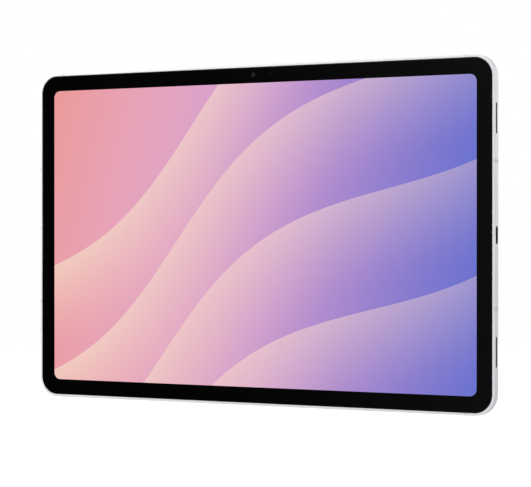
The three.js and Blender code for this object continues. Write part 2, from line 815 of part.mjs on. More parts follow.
for (const [side, sign] of [['left', -1], ['right', 1]]) {
  const centreX = sign * (CELL_WIDTH / 2 + HALF_CELL_GAP);
  add(`battery_cell_${side}`, batteryCell(), foil, [centreX, CELL_BACK, CELL_CENTRE_Z]);
}

// Protection board at the cells' top, with the lead that runs to the main board.
function batteryBoard() {
  const board = block([-22, 22], [-3.4, -1], [53.5, 57.5]);
  const lead = block([-92, -21.9], [-2.95, -2.83], [54, 57]);
  return join(board, lead);
}

add('battery_board', batteryBoard(), boardLaminate);

// ---------- boards ----------

const MAIN_BOARD_SCREWS = 4;
const FLEX_Z = -25;
const FLEX_WIDTH = 10;
const FLEX_SOCKET_Z = [FLEX_Z - 6, FLEX_Z + 6];
const BOARD_END_X = 123.5;

function screwHoles(places) {
  return places.map(([x, z]) => rodY(SCREW_HOLE, -4, 0, SMALL_ROUND_SIDES).translate(x, 0, z));
}

function laminate(x, z) {
  return block(x, [BOARD_FRONT, BOARD_BACK], z);
}

// A component that stands a given height on the front of a board.
function component(x, height, z) {
  return block(x, [BOARD_FRONT - height, BOARD_FRONT + 0.1], z);
}

function mainBoard() {
  const displaySocket = component([-118.5, -113], BOARD_FRONT - CONNECTOR_FRONT, [-12.5, 12.5]);
  const flexSocket = component([-93, -89.5], BOARD_FRONT - CONNECTOR_FRONT, FLEX_SOCKET_Z);
  const processor = component([-108, -96], 0.8, [-6, 10]);
  const memory = component([-121.5, -116], 0.9, [18, 30]);
  const radio = component([-99.5, -92], 1, [44, 51]);
  const board = join(
    laminate([-BOARD_END_X, -88], [-40, 40]),
    laminate([-102, -88], [39, 76]),
    displaySocket,
    flexSocket,
    processor,
    memory,
    radio,
  );
  return cut(board, screwHoles(SCREWS.slice(0, MAIN_BOARD_SCREWS)));
}

// The board round the port, notched to clear the port's shell.
function subBoard() {
  const notchHalf = 5.2;
  const notch = block([SHELL_BACK_X - BORE_FIT, BOARD_END_X + PAST], [-5, 0], [-notchHalf, notchHalf]);
  const connector = component([92.5, 96], BOARD_FRONT - CONNECTOR_FRONT, FLEX_SOCKET_Z);
  const charger = component([104, 110], 0.9, [4, 10]);
  const board = join(laminate([92, BOARD_END_X], [-34, 22]), connector, charger);
  return cut(board, [notch, ...screwHoles(SCREWS.slice(MAIN_BOARD_SCREWS))]);
}

add('main_board', mainBoard(), boardLaminate);
add('sub_board', subBoard(), boardLaminate);

// A pressed cover over part of the board, open towards the board.
function shieldCan(width, height) {
  const front = -3.72;
  const back = BOARD_FRONT - SHEET_GAP;
  const sheet = 0.25;
  const outside = block([-width / 2, width / 2], [front, back], [-height / 2, height / 2]);
  const inside = block(
    [-width / 2 + sheet, width / 2 - sheet],
    [front + sheet, back + PAST],
    [-height / 2 + sheet, height / 2 - sheet],
  );
  return cut(outside, [inside]);
}

add('processor_shield', shieldCan(20, 30), steel, [-102, 0, 4]);
add('power_shield', shieldCan(20, 16), steel, [-104, 0, -26]);
add('radio_shield', shieldCan(20, 13), steel, [-102, 0, 30]);

// Flat cable over the battery cells, from the main board to the sub board.
function interconnectFlex() {
  const half = 0.06;
  const low = CONNECTOR_FRONT - 0.12;
  const high = CELL_FRONT - 0.12;
  const route = [[-93, low], [-89, low], [-86, high], [86, high], [90, low], [96, low]];
  const front = route.map(([x, y]) => [x, y - half]);
  const back = route.map(([x, y]) => [x, y + half]);
  return polygonAlongZ([...front, ...back.reverse()], FLEX_WIDTH);
}

add('interconnect_flex', interconnectFlex(), flexFilm, [0, 0, FLEX_Z]);

// ---------- screws ----------

const HEAD_RADIUS = 1.5;
const HEAD_BEVEL = 0.2;
const HEAD_BACK = BOARD_FRONT - SHEET_GAP;
const HEAD_FRONT = HEAD_BACK - 0.45;

const screwProfile = [
  [0, HEAD_FRONT],
  [HEAD_RADIUS - HEAD_BEVEL, HEAD_FRONT],
  [HEAD_RADIUS, HEAD_FRONT + HEAD_BEVEL],
  [HEAD_RADIUS, HEAD_BACK],
  [SCREW_SHANK, HEAD_BACK],
  [SCREW_SHANK, SCREW_END],
  [0, SCREW_END],
];

SCREWS.forEach(([x, z], index) => {
  add(`board_screw_${index + 1}`, turned(screwProfile, SMALL_ROUND_SIDES), steel, [x, 0, z]);
});

// ---------- keyboard contacts in the bottom edge ----------

const CONTACTS = [-CONTACT_PITCH, 0, CONTACT_PITCH];
const CONTACT_RADIUS = 0.9;
const CONTACT_BLOCK_TOP = -79;

function contactBlock() {
  const bar = topLozenge(CONTACT_BLOCK_LENGTH, CONTACT_BLOCK_WIDTH, -HALF_HEIGHT + 0.05, CONTACT_BLOCK_TOP);
  const hole = () => rodZ(CONTACT_RADIUS + BORE_FIT, -HALF_HEIGHT - PAST, CONTACT_BLOCK_TOP + PAST);
  return cut(bar, CONTACTS.map((x) => hole().translate(x, 0, 0)));
}

add('contact_block', contactBlock(), darkPlastic, [0, CONTACT_Y, 0]);
CONTACTS.forEach((x, index) => {
  const pin = rodZ(CONTACT_RADIUS, -HALF_HEIGHT + FIT, CONTACT_BLOCK_TOP + 0.4);
  add(`contact_pin_${index + 1}`, pin, gold, [x, CONTACT_Y, 0]);
});

export default tablet;
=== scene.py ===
import json
import math

import bmesh
import bpy
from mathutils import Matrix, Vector


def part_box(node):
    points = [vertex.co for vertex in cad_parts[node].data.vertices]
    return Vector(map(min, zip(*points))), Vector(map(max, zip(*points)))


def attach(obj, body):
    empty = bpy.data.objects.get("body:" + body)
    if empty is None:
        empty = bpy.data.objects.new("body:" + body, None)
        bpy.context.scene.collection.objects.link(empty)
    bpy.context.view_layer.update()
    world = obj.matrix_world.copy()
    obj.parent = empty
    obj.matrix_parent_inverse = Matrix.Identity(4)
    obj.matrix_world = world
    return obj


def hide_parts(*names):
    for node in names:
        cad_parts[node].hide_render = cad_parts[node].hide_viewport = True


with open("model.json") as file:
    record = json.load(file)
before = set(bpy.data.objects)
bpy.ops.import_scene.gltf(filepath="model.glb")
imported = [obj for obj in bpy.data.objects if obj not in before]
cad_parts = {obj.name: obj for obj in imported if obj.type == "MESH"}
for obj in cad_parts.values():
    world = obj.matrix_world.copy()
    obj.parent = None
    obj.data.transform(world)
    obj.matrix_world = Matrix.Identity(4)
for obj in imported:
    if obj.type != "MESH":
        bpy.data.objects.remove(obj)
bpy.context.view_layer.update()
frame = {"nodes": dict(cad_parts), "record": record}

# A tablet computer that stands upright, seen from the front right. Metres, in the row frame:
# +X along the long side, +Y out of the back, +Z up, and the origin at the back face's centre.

MM = 0.001

# ---------- camera and stage ----------

CAMERA_PLACE = Vector((0.50383, -0.87224, -0.00006))
CAMERA_AIM = Vector((-0.4974, 0.8675, -0.00396))
CAMERA_LENS = 140.23
FLOOR_DROP = 0.45
FLOOR_RADIUS = 9.0

# ---------- driving sizes that the frame gives ----------

BODY_LOW, BODY_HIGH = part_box("rear_housing")
GLASS_LOW, GLASS_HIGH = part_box("cover_glass")
WIDTH = BODY_HIGH.x - BODY_LOW.x
HEIGHT = BODY_HIGH.z - BODY_LOW.z
HALF_WIDTH = WIDTH / 2
HALF_HEIGHT = HEIGHT / 2
RIM_FRONT = BODY_LOW.y
GLASS_FRONT = GLASS_LOW.y
GLASS_BACK = GLASS_HIGH.y

# ---------- finer sizes of the real surfaces ----------

CORNER = 10.2 * MM
CORNER_STEPS = 24
BACK_EDGE = 1.9 * MM
FRONT_EDGE = 0.4 * MM
POCKET_INSET = 1.19 * MM
GLASS_INSET = 1.27 * MM
WALL = 2.7 * MM
BACK_WALL = 0.8 * MM
LEDGE_Y = -4.63 * MM
SCREEN_WIDTH = 235.83 * MM
SCREEN_HEIGHT = 147.4 * MM
SCREEN_CORNER = 3.4 * MM
BAND_WIDTH = 1.55 * MM
BAND_GAP = 0.03 * MM
PORT_LENGTH = 8.44 * MM
PORT_WIDTH = 2.7 * MM
SLOT_LENGTH = 14.2 * MM
SLOT_WIDTH = 1.5 * MM
KEY_WIDTH = 1.9 * MM
KEY_EAR = 1.1 * MM
KEY_CLEARANCE = 0.12 * MM
MICROPHONE_RADIUS = 0.5 * MM
REAR_MICROPHONE_DROP = 8 * MM
FLASH_RADIUS = 2.2 * MM
BEYOND = 1.0 * MM

GRILLES = ("grille_right_upper", "grille_right_lower", "grille_left_upper", "grille_left_lower")


def middle(node):
    low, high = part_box(node)
    return (low + high) / 2


def extent(node):
    low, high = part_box(node)
    return high - low


# ---------- outlines ----------


def rounded_outline(width, height, radius, steps):
    """A rectangle with round corners as (u, v) points, from its top right corner round."""
    points = []
    for corner in range(4):
        side_u = 1 if corner in (0, 3) else -1
        side_v = 1 if corner < 2 else -1
        for step in range(steps + 1):
            angle = (corner + step / steps) * math.pi / 2
            u = side_u * (width / 2 - radius) + radius * math.cos(angle)
            v = side_v * (height / 2 - radius) + radius * math.sin(angle)
            points.append((u, v))
    return points


def stadium(length, width, steps=10):
    """A bar with round ends, its length along u."""
    points = []
    for end in (1, -1):
        for step in range(steps + 1):
            angle = (step / steps - 0.5) * math.pi
            u = end * ((length - width) / 2 + width / 2 * math.cos(angle))
            v = end * width / 2 * math.sin(angle)
            points.append((u, v))
    return points


def circle(radius, steps=48):
    angles = [2 * math.pi * step / steps for step in range(steps)]
    return [(radius * math.cos(a), radius * math.sin(a)) for a in angles]


def quarter(steps):
    """(sine, 1 - cosine) pairs of a quarter turn."""
    angles = [math.pi / 2 * step / steps for step in range(steps + 1)]
    return [(math.sin(a), 1 - math.cos(a)) for a in angles]


# ---------- points on the four edges and on the faces ----------

EDGES = {
    "right": lambda along, y, out: Vector((out, y, along)),
    "left": lambda along, y, out: Vector((-out, y, along)),
    "top": lambda along, y, out: Vector((along, y, out)),
    "bottom": lambda along, y, out: Vector((along, y, -out)),
    "back": lambda x, z, out: Vector((x, out, z)),
}


def edge_ring(edge, outline, along, across, out):
    """An outline laid across an edge: u along it, v through the thickness, at a distance out."""
    point = EDGES[edge]
    return [point(along + u, across + v, out) for u, v in outline]


def bar_ring(edge, place, size, inset, out, steps=16):
    """A (length, width) bar's outline, pulled in by inset, as a ring at a distance out."""
    length, width = size
    outline = stadium(length - 2 * inset, width - 2 * inset, steps)
    along = place.x if edge in ("top", "bottom") else place.z
    return edge_ring(edge, outline, along, place.y, out)


def face_ring(outline, y):
    return [Vector((u, y, v)) for u, v in outline]


def body_ring(inset, y):
    """The tablet's outline, moved inward by inset, at a value of y."""
    outline = rounded_outline(
        WIDTH - 2 * inset, HEIGHT - 2 * inset, CORNER - inset, CORNER_STEPS)
    return face_ring(outline, y)


# ---------- meshes ----------

WELD = 1e-8


def new_object(name, mesh):
    piece = bpy.data.objects.new(name, mesh)
    bpy.context.scene.collection.objects.link(piece)
    return piece


def loft_into(bm, rings, closed=False):
    """Skins rings of equal length in order, and caps both ends or joins the last to the first."""
    loops = [[bm.verts.new(p) for p in ring] for ring in rings]
    count = len(loops[0])
    pairs = list(zip(loops, loops[1:]))
    if closed:
        pairs.append((loops[-1], loops[0]))
    for a, b in pairs:
        for i in range(count):
            j = (i + 1) % count
            bm.faces.new((a[i], a[j], b[j], b[i]))
    if not closed:
        bm.faces.new(loops[0][::-1])
        bm.faces.new(loops[-1])


def finish_mesh(name, bm):
    bmesh.ops.remove_doubles(bm, verts=bm.verts, dist=WELD)
    bmesh.ops.recalc_face_normals(bm, faces=bm.faces)
    mesh = bpy.data.meshes.new(name)
    bm.to_mesh(mesh)
    bm.free()
    return mesh


def loft(name, rings, closed=False):
    bm = bmesh.new()
    loft_into(bm, rings, closed)
    return finish_mesh(name, bm)


def loft_many(name, solids):
    bm = bmesh.new()
    for rings in solids:
        loft_into(bm, rings)
    return finish_mesh(name, bm)


def revolve(name, profile, centre, steps=96):
    """Turns a closed outline of (radius, y) points about the line along Y through centre."""
    rings = []
    for step in range(steps):
        angle = 2 * math.pi * step / steps
        rings.append([
            Vector((centre.x + r * math.cos(angle), y, centre.z + r * math.sin(angle)))
            for r, y in profile
        ])
    bm = bmesh.new()
    loft_into(bm, rings, closed=True)
    bmesh.ops.remove_doubles(bm, verts=bm.verts, dist=WELD)
    bmesh.ops.dissolve_degenerate(bm, edges=bm.edges, dist=WELD)
    return finish_mesh(name, bm)


def cut(mesh, cutter, name):
    """mesh less cutter, by an exact boolean."""
    base = new_object(name + "_base", mesh)
    tool = new_object(name + "_tool", cutter)
    step = base.modifiers.new("cut", "BOOLEAN")
    step.operation = "DIFFERENCE"
    step.solver = "EXACT"
    step.object = tool
    graph = bpy.context.evaluated_depsgraph_get()
    result = bpy.data.meshes.new_from_object(base.evaluated_get(graph))
    result.name = name
    bpy.data.objects.remove(base)
    bpy.data.objects.remove(tool)
    return result


# ---------- smooth shading ----------

SHARP_ANGLE = math.radians(35)
BODY_SHARP_ANGLE = math.radians(32)
FLAT_FACE_WEIGHT = 80
ON_SURFACE = 0.02 * MM
SAME_WAY = 0.97


def body_surface(p):
    """The signed distance from p to the tablet's outer surface, and the normal there."""
    qx = abs(p.x) - (HALF_WIDTH - CORNER)
    qz = abs(p.z) - (HALF_HEIGHT - CORNER)
    sign_x = 1 if p.x >= 0 else -1
    sign_z = 1 if p.z >= 0 else -1
    if qx > 0 and qz > 0:
        length = math.hypot(qx, qz)
        side = Vector((sign_x * qx / length, 0, sign_z * qz / length))
        inset = CORNER - length
    elif qx > qz:
        side = Vector((sign_x, 0, 0))
        inset = CORNER - qx
    else:
        side = Vector((0, 0, sign_z))
        inset = CORNER - qz
    for radius, depth, outward in (
        (BACK_EDGE, -p.y, Vector((0, 1, 0))),
        (FRONT_EDGE, p.y - RIM_FRONT, Vector((0, -1, 0))),
    ):
        if inset < radius and depth < radius:
            from_side = radius - inset
            from_face = radius - depth
            length = math.hypot(from_side, from_face)
            normal = (side * from_side + outward * from_face).normalized()
            return length - radius, normal
    gaps = [(-inset, side), (p.y, Vector((0, 1, 0))), (RIM_FRONT - p.y, Vector((0, -1, 0)))]
    return max(gaps, key=lambda gap: gap[0])


def smooth_body(mesh):
    """Gives faces on the tablet's outer surface that surface's own normals."""
    mesh.polygons.foreach_set("use_smooth", [True] * len(mesh.polygons))
    mesh.set_sharp_from_angle(angle=BODY_SHARP_ANGLE)
    normals = [Vector(corner.vector) for corner in mesh.corner_normals]
    for face in mesh.polygons:
        distance, normal = body_surface(face.center)
        if abs(distance) > ON_SURFACE or normal.dot(face.normal) < SAME_WAY:
            continue
        for loop in face.loop_indices:
            point = mesh.vertices[mesh.loops[loop].vertex_index].co
            normals[loop] = body_surface(point)[1]
    mesh.normals_split_custom_set(normals)


def smooth(made):
    """Smooth shading that keeps flat faces flat."""
    mesh = made.data
    mesh.polygons.foreach_set("use_smooth", [True] * len(mesh.polygons))
    mesh.set_sharp_from_angle(angle=SHARP_ANGLE)
    weighted = made.modifiers.new("weighted", "WEIGHTED_NORMAL")
    weighted.keep_sharp = True
    weighted.weight = FLAT_FACE_WEIGHT


# ---------- node trees ----------


class Nodes:
    """Builds a node tree. Values are numbers, tuples or output sockets."""

    def __init__(self, tree, coordinates):
        self.tree = tree
        self.place = self.add("ShaderNodeTexCoord").outputs[coordinates]

    def add(self, kind, **settings):
        node = self.tree.nodes.new(kind)
        for key, value in settings.items():
            setattr(node, key, value)
        return node

    def split(self):
        node = self.add("ShaderNodeSeparateXYZ")
        self.put(node.inputs[0], self.place)
        return node.outputs

    def put(self, socket, value):
        if isinstance(value, bpy.types.NodeSocket):
            self.tree.links.new(value, socket)
        else:
            socket.default_value = value

    def math(self, operation, *values):
        node = self.add("ShaderNodeMath", operation=operation)
        for socket, value in zip(node.inputs, values):
            self.put(socket, value)
        return node.outputs[0]

    def blend(self, factor, a, b, kind="MIX"):
        node = self.add("ShaderNodeMix", data_type="RGBA", blend_type=kind)
        self.put(node.inputs[0], factor)
        self.put(node.inputs[6], a)
        self.put(node.inputs[7], b)
        return node.outputs[2]

    def ramp(self, factor, stops, kind="LINEAR"):
        node = self.add("ShaderNodeValToRGB")
        node.color_ramp.interpolation = kind
        elements = node.color_ramp.elements
        while len(elements) < len(stops):
            elements.new(0.5)
        for element, (position, colour) in zip(elements, stops):
            element.position = position
            element.color = colour
        self.put(node.inputs[0], factor)
        return node.outputs[0]

    def remap(self, value, low, high, to_low=0.0, to_high=1.0, kind="LINEAR"):
        node = self.add("ShaderNodeMapRange", interpolation_type=kind)
        for socket, given in zip(node.inputs, (value, low, high, to_low, to_high)):
            self.put(socket, given)
        return node.outputs[0]

    def length(self, u, v):
        squares = [self.math("MULTIPLY", side, side) for side in (u, v)]
        return self.math("SQRT", self.math("ADD", *squares))


class Finish(Nodes):
    """A material's node tree, built round its Principled shader."""

    def __init__(self, name):
        self.material = bpy.data.materials.new(name)
        self.material.use_nodes = True
        super().__init__(self.material.node_tree, "Object")
        self.shader = self.tree.nodes["Principled BSDF"]

    def noise(self, size, detail=2.0, stretch=None):
        """Noise whose features are about size metres across, drawn out where stretch is small."""
        place = self.place
        if stretch:
            scaled = self.add("ShaderNodeVectorMath", operation="MULTIPLY")
            self.put(scaled.inputs[0], place)
            self.put(scaled.inputs[1], stretch)
            place = scaled.outputs[0]
        node = self.add("ShaderNodeTexNoise")
        self.put(node.inputs["Scale"], 1 / size)
        self.put(node.inputs["Detail"], detail)
        self.put(node.inputs["Vector"], place)
        return node.outputs["Fac"]

    def bump(self, height, strength, distance):
        node = self.add("ShaderNodeBump")
        self.put(node.inputs["Strength"], strength)
        self.put(node.inputs["Distance"], distance)
        self.put(node.inputs["Height"], height)
        self.put(self.shader.inputs["Normal"], node.outputs[0])

    def shade(self, **values):
        """Sets the shader's inputs by name, with _ for a space."""
        for key, value in values.items():
            self.put(self.shader.inputs[key.replace("_", " ")], value)

    def spread(self, noise, low=0.0, high=1.0):
        """Stretches the range that most noise lies in to low and high."""
        return self.remap(noise, 0.3, 0.7, low, high)


def srgb(red, green, blue):
    """A linear colour with alpha from 0-255 screen values."""

    def linear(c):
        c /= 255
        return c / 12.92 if c <= 0.04045 else ((c + 0.055) / 1.055) ** 2.4

    return (linear(red), linear(green), linear(blue), 1.0)


def grey(value, warm=0.0):
    return (value * (1 + warm), value, value * (1 - warm), 1.0)


# ---------- materials ----------


def speckled(name, dark, light, size, roughness, metallic=0.0, bump=0.0, coat=0.0):
    """A finish with fine colour, roughness and height variation."""
    nodes = Finish(name)
    fine = nodes.noise(size, 3.0)
    broad = nodes.noise(size * 60, 2.0)
    tone = nodes.math("ADD", nodes.math("MULTIPLY", fine, 0.7), nodes.math("MULTIPLY", broad, 0.3))
    nodes.shade(Base_Color=nodes.blend(nodes.spread(tone), dark, light), Metallic=metallic)
    nodes.shade(Roughness=nodes.spread(fine, *roughness), Coat_Weight=coat)
    if bump:
        nodes.bump(fine, bump, size / 4)
    return nodes.material


def anodised():
    """Bead-blasted aluminium: two sizes of tiny dimples under a clear anodised skin."""
    nodes = Finish("anodised_aluminium")
    tone = 0.86
    grain = nodes.noise(0.09 * MM, 2.0)
    dimples = nodes.noise(0.22 * MM, 2.0)
    cloud = nodes.noise(30 * MM, 3.0)
    height = nodes.math("ADD", grain, nodes.math("MULTIPLY", dimples, 0.8))
    tint = nodes.math("ADD", nodes.math("MULTIPLY", dimples, 0.5), nodes.math("MULTIPLY", cloud, 0.5))
    low = (tone * 0.955, tone * 0.961, tone * 0.995, 1.0)
    high = (tone * 0.99, tone * 0.995, tone * 1.03, 1.0)
    colour = nodes.blend(nodes.spread(tint), low, high)
    roughness = nodes.remap(height, 0.5, 1.3, 0.5, 0.58)
    nodes.shade(Base_Color=colour, Roughness=roughness, Metallic=0.4)
    nodes.bump(height, 0.09, 0.012 * MM)
    return nodes.material


CREAM = srgb(247, 226, 208)
CORAL = srgb(236, 150, 142)
PINK = srgb(231, 172, 204)
MAUVE = srgb(172, 136, 206)
BLUE = srgb(84, 108, 206)
SCREEN_SWEEP = ((0.0, CORAL), (0.38, PINK), (0.66, MAUVE), (1.0, BLUE))
WAVE_COUNT = 4
WAVE_SLANT = math.radians(33)
WAVE_LENGTH = 300 * MM
WAVE_HEIGHT = 17 * MM
WAVE_STEP = 43 * MM
WAVE_DELAY = 0.8
WAVE_FADE = 46 * MM
WAVE_SHIFT = 0.07
SWEEP_SLANT = math.radians(16)


def lit_picture():
    """A plain picture on the screen: layered soft waves over a sweep from warm to cool."""
    nodes = Finish("lit_screen")
    x, _, z = nodes.split()
    cosine, sine = math.cos(WAVE_SLANT), math.sin(WAVE_SLANT)
    along = nodes.math("ADD", nodes.math("MULTIPLY", x, cosine), nodes.math("MULTIPLY", z, sine))
    across = nodes.math("SUBTRACT", nodes.math("MULTIPLY", z, cosine), nodes.math("MULTIPLY", x, sine))
    turn = nodes.math("MULTIPLY", along, 2 * math.pi / WAVE_LENGTH)

    # Each wave lies over the one before, brightest just under its crest.
    shift = 0.0
    glow = 0.0
    for index in range(WAVE_COUNT):
        swell = nodes.math("SINE", nodes.math("ADD", turn, index * WAVE_DELAY))
        level = ((WAVE_COUNT - 1) / 2 - index) * WAVE_STEP
        crest = nodes.math("ADD", nodes.math("MULTIPLY", swell, WAVE_HEIGHT), level)
        depth = nodes.math("SUBTRACT", crest, across)
        inside = nodes.math("GREATER_THAN", depth, 0.0)
        shine = nodes.math("POWER", nodes.remap(depth, 0.0, WAVE_FADE, 1.0, 0.0), 1.5)
        outside = nodes.math("SUBTRACT", 1.0, inside)
        glow = nodes.math("ADD", nodes.math("MULTIPLY", glow, outside), nodes.math("MULTIPLY", shine, inside))
        shift = nodes.math("ADD", shift, nodes.math("MULTIPLY", inside, WAVE_SHIFT))

    cosine, sine = math.cos(SWEEP_SLANT), math.sin(SWEEP_SLANT)
    reach = (SCREEN_WIDTH * cosine + SCREEN_HEIGHT * sine) / 2
    place = nodes.math("SUBTRACT", nodes.math("MULTIPLY", x, cosine), nodes.math("MULTIPLY", z, sine))
    sweep = nodes.remap(place, -reach, reach, 0.0, 1.0 + WAVE_SHIFT * WAVE_COUNT)
    field = nodes.ramp(nodes.math("SUBTRACT", sweep, shift), SCREEN_SWEEP, "B_SPLINE")
    warmth = nodes.remap(x, -SCREEN_WIDTH / 2, SCREEN_WIDTH / 2, 0.62, 0.22)
    picture = nodes.blend(nodes.math("MULTIPLY", glow, warmth), field, CREAM)

    nodes.shade(Emission_Color=picture, Emission_Strength=1.0)
    nodes.shade(Base_Color=grey(0.002), Roughness=0.05, Specular_IOR_Level=0.25)
    return nodes.material


FRONT_LENS_RADIUS = 1.4 * MM
FRONT_LENS_DROP = 1.95 * MM


def black_glass():
    """The look of glass printed black behind, with the front camera and sensor showing through; the camera
    lens's lighter bluish middle is a painted highlight.
    """
    nodes = Finish("black_cover_glass")
    x, _, z = nodes.split()
    camera = middle("front_camera")
    sensor = middle("light_sensor")
    camera_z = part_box("front_camera")[1].z - FRONT_LENS_DROP

    def distance(to_x, to_z):
        return nodes.length(nodes.math("SUBTRACT", x, to_x), nodes.math("SUBTRACT", z, to_z))

    smudge = nodes.noise(14 * MM, 3.0)
    ink = nodes.blend(nodes.remap(smudge, 0.35, 0.65), grey(0.0009), grey(0.0012))
    # The front camera's own dark rings, with a painted highlight in the lighter bluish middle.
    lens_rings_and_glint = (
        (0.0, srgb(38, 41, 48)),
        (0.2, srgb(28, 30, 34)),
        (0.32, srgb(38, 40, 41)),
        (0.55, srgb(32, 33, 33)),
        (0.8, srgb(19, 19, 19)),
        (1.0, srgb(6, 6, 6)),
    )
    lens_reach = nodes.remap(distance(camera.x, camera_z), 0.0, FRONT_LENS_RADIUS)
    lens = nodes.ramp(lens_reach, lens_rings_and_glint)
    window = nodes.remap(distance(sensor.x, sensor.z), 0.6 * MM, 1.0 * MM, 1.0, 0.0)
    border = nodes.blend(window, ink, srgb(14, 13, 13))
    in_lens = nodes.math("LESS_THAN", lens_reach, 0.999)
    roughness = nodes.remap(smudge, 0.35, 0.65, 0.03, 0.055)
    nodes.shade(Base_Color=nodes.blend(in_lens, border, lens), Roughness=roughness)
    nodes.shade(Specular_IOR_Level=0.25)
    return nodes.material


def lens_coating():
    """A dark lens whose thin coating shifts from blue at its middle to violet and then green."""
    nodes = Finish("coated_lens")
    facing = nodes.add("ShaderNodeLayerWeight")
    facing.inputs["Blend"].default_value = 0.45
    colour = nodes.ramp(facing.outputs["Facing"], (
        (0.0, srgb(20, 34, 62)),
        (0.45, srgb(28, 24, 58)),
        (0.8, srgb(44, 22, 60)),
        (1.0, srgb(26, 40, 44)),
    ))
    fine = nodes.noise(0.5 * MM, 2.0)
    colour = nodes.blend(nodes.spread(fine, 0.0, 0.2), colour, grey(0.01))
    nodes.shade(Base_Color=colour, Roughness=0.03, Coat_Weight=1.0, Coat_Roughness=0.02)
    return nodes.material


def circuit_board():
    """Green solder mask with the faint relief of the copper tracks below it."""
    nodes = Finish("solder_mask")
    tracks = nodes.add("ShaderNodeTexBrick")
    tracks.inputs["Scale"].default_value = 260.0
    tracks.inputs["Mortar Size"].default_value = 0.035
    for socket, value in (("Color1", 1.0), ("Color2", 0.85), ("Mortar", 0.35)):
        tracks.inputs[socket].default_value = grey(value)
    turned = nodes.add("ShaderNodeVectorRotate", rotation_type="X_AXIS")
    turned.inputs["Angle"].default_value = math.pi / 2
    nodes.put(turned.inputs["Vector"], nodes.place)
    nodes.put(tracks.inputs["Vector"], turned.outputs[0])
    fine = nodes.noise(1.5 * MM, 3.0)
    mask = nodes.blend(nodes.spread(fine), (0.012, 0.07, 0.035, 1), (0.02, 0.11, 0.055, 1))
    colour = nodes.blend(0.6, mask, tracks.outputs["Color"], "MULTIPLY")
    nodes.shade(Base_Color=colour, Roughness=nodes.spread(fine, 0.3, 0.45))
    nodes.bump(tracks.outputs["Color"], 0.3, 0.03 * MM)
    return nodes.material


def polyimide():
    """Amber film with straight conductors inside."""
    nodes = Finish("polyimide_film")
    lines = nodes.add("ShaderNodeTexWave", bands_direction="Z")
    lines.inputs["Scale"].default_value = 600.0
    nodes.put(lines.inputs["Vector"], nodes.place)
    fine = nodes.noise(3 * MM, 2.0)
    film = nodes.blend(nodes.spread(fine), (0.36, 0.15, 0.03, 1), (0.46, 0.2, 0.05, 1))
    on_line = nodes.remap(lines.outputs["Fac"], 0.4, 0.6, 0.0, 0.5)
    colour = nodes.blend(on_line, film, (0.5, 0.28, 0.1, 1))
    nodes.shade(Base_Color=colour, Roughness=nodes.spread(fine, 0.3, 0.42))
    nodes.bump(lines.outputs["Fac"], 0.2, 0.02 * MM)
    return nodes.material


def pressed_steel():
    """Plated sheet with fine lines along X."""
    nodes = Finish("pressed_steel")
    tone = 0.62
    lines = nodes.noise(0.05 * MM, 3.0, stretch=(0.03, 1.0, 1.0))
    colour = nodes.blend(nodes.spread(lines), grey(tone * 0.86), grey(tone))
    nodes.shade(Base_Color=colour, Roughness=nodes.spread(lines, 0.26, 0.42), Metallic=1.0)
    nodes.bump(lines, 0.15, 0.01 * MM)
    return nodes.material


ALUMINIUM = anodised()
BAND_PLASTIC = speckled(
    "band_plastic", grey(0.68, -0.012), grey(0.73, -0.012), 0.12 * MM, (0.5, 0.6), bump=0.08)
BLACK_GLASS = black_glass()
LIT_SCREEN = lit_picture()
SCREEN_EDGE = speckled("screen_edge", grey(0.004), grey(0.006), 0.4 * MM, (0.04, 0.08))
BLACK_PLASTIC = speckled("black_plastic", grey(0.006), grey(0.011), 0.1 * MM, (0.42, 0.58), bump=0.2)
BLACK_MESH = speckled("black_coated_mesh", grey(0.004), grey(0.009), 0.06 * MM, (0.35, 0.5), bump=0.15)
PORT_STEEL = speckled("plated_steel", grey(0.5), grey(0.6), 0.05 * MM, (0.24, 0.34), metallic=1.0, bump=0.05)
SHEET_STEEL = pressed_steel()
GOLD = speckled(
    "gold_plating", (0.78, 0.5, 0.16, 1), (0.86, 0.6, 0.24, 1), 0.05 * MM, (0.2, 0.32), metallic=1.0)
LENS_BLACK = speckled("camera_glass", grey(0.002), grey(0.004), 0.6 * MM, (0.03, 0.05), coat=0.5)
LENS_COATING = lens_coating()
BAFFLE = speckled("lens_baffle", grey(0.004), grey(0.008), 0.05 * MM, (0.5, 0.65), bump=0.2)
CAMERA_TRIM = speckled(
    "turned_aluminium", grey(0.6), grey(0.68), 0.05 * MM, (0.22, 0.32), metallic=1.0, bump=0.04)
DIFFUSER = speckled(
    "flash_diffuser", (0.86, 0.80, 0.56, 1), (0.92, 0.87, 0.68, 1), 0.2 * MM, (0.2, 0.32), coat=0.4)
FOAM_TAPE = speckled("foam_tape", grey(0.01), grey(0.02), 0.2 * MM, (0.8, 0.95), bump=0.4)
FOIL = speckled("pouch_foil", grey(0.018), grey(0.03), 1.2 * MM, (0.4, 0.6), metallic=0.2, bump=0.3)
PANEL_BACKING = speckled("display_stack", grey(0.004), grey(0.01), 2 * MM, (0.25, 0.4))

SLOT_MATERIALS = {
    "shell": ALUMINIUM,
    "camera_trim": CAMERA_TRIM,
    "band": BAND_PLASTIC,
    "front_glass": BLACK_GLASS,
    "display": PANEL_BACKING,
    "lens": LENS_BLACK,
    "diffuser": DIFFUSER,
    "grille": BLACK_MESH,
    "sheet_steel": SHEET_STEEL,
    "gold": GOLD,
    "dark_plastic": BLACK_PLASTIC,
    "adhesive": FOAM_TAPE,
    "board": circuit_board(),
    "flex": polyimide(),
    "battery_foil": FOIL,
}


def piece(name, mesh, materials, slot, body="chassis", replaces=(), weighted=True):
    """Makes a visible piece that rides on a body and stands for CAD nodes."""
    made = new_object(name, mesh)
    for material in materials:
        mesh.materials.append(material)
    if weighted:
        smooth(made)
    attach(made, body)
    if replaces:
        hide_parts(*replaces)
    return made


# ---------- rear shell ----------

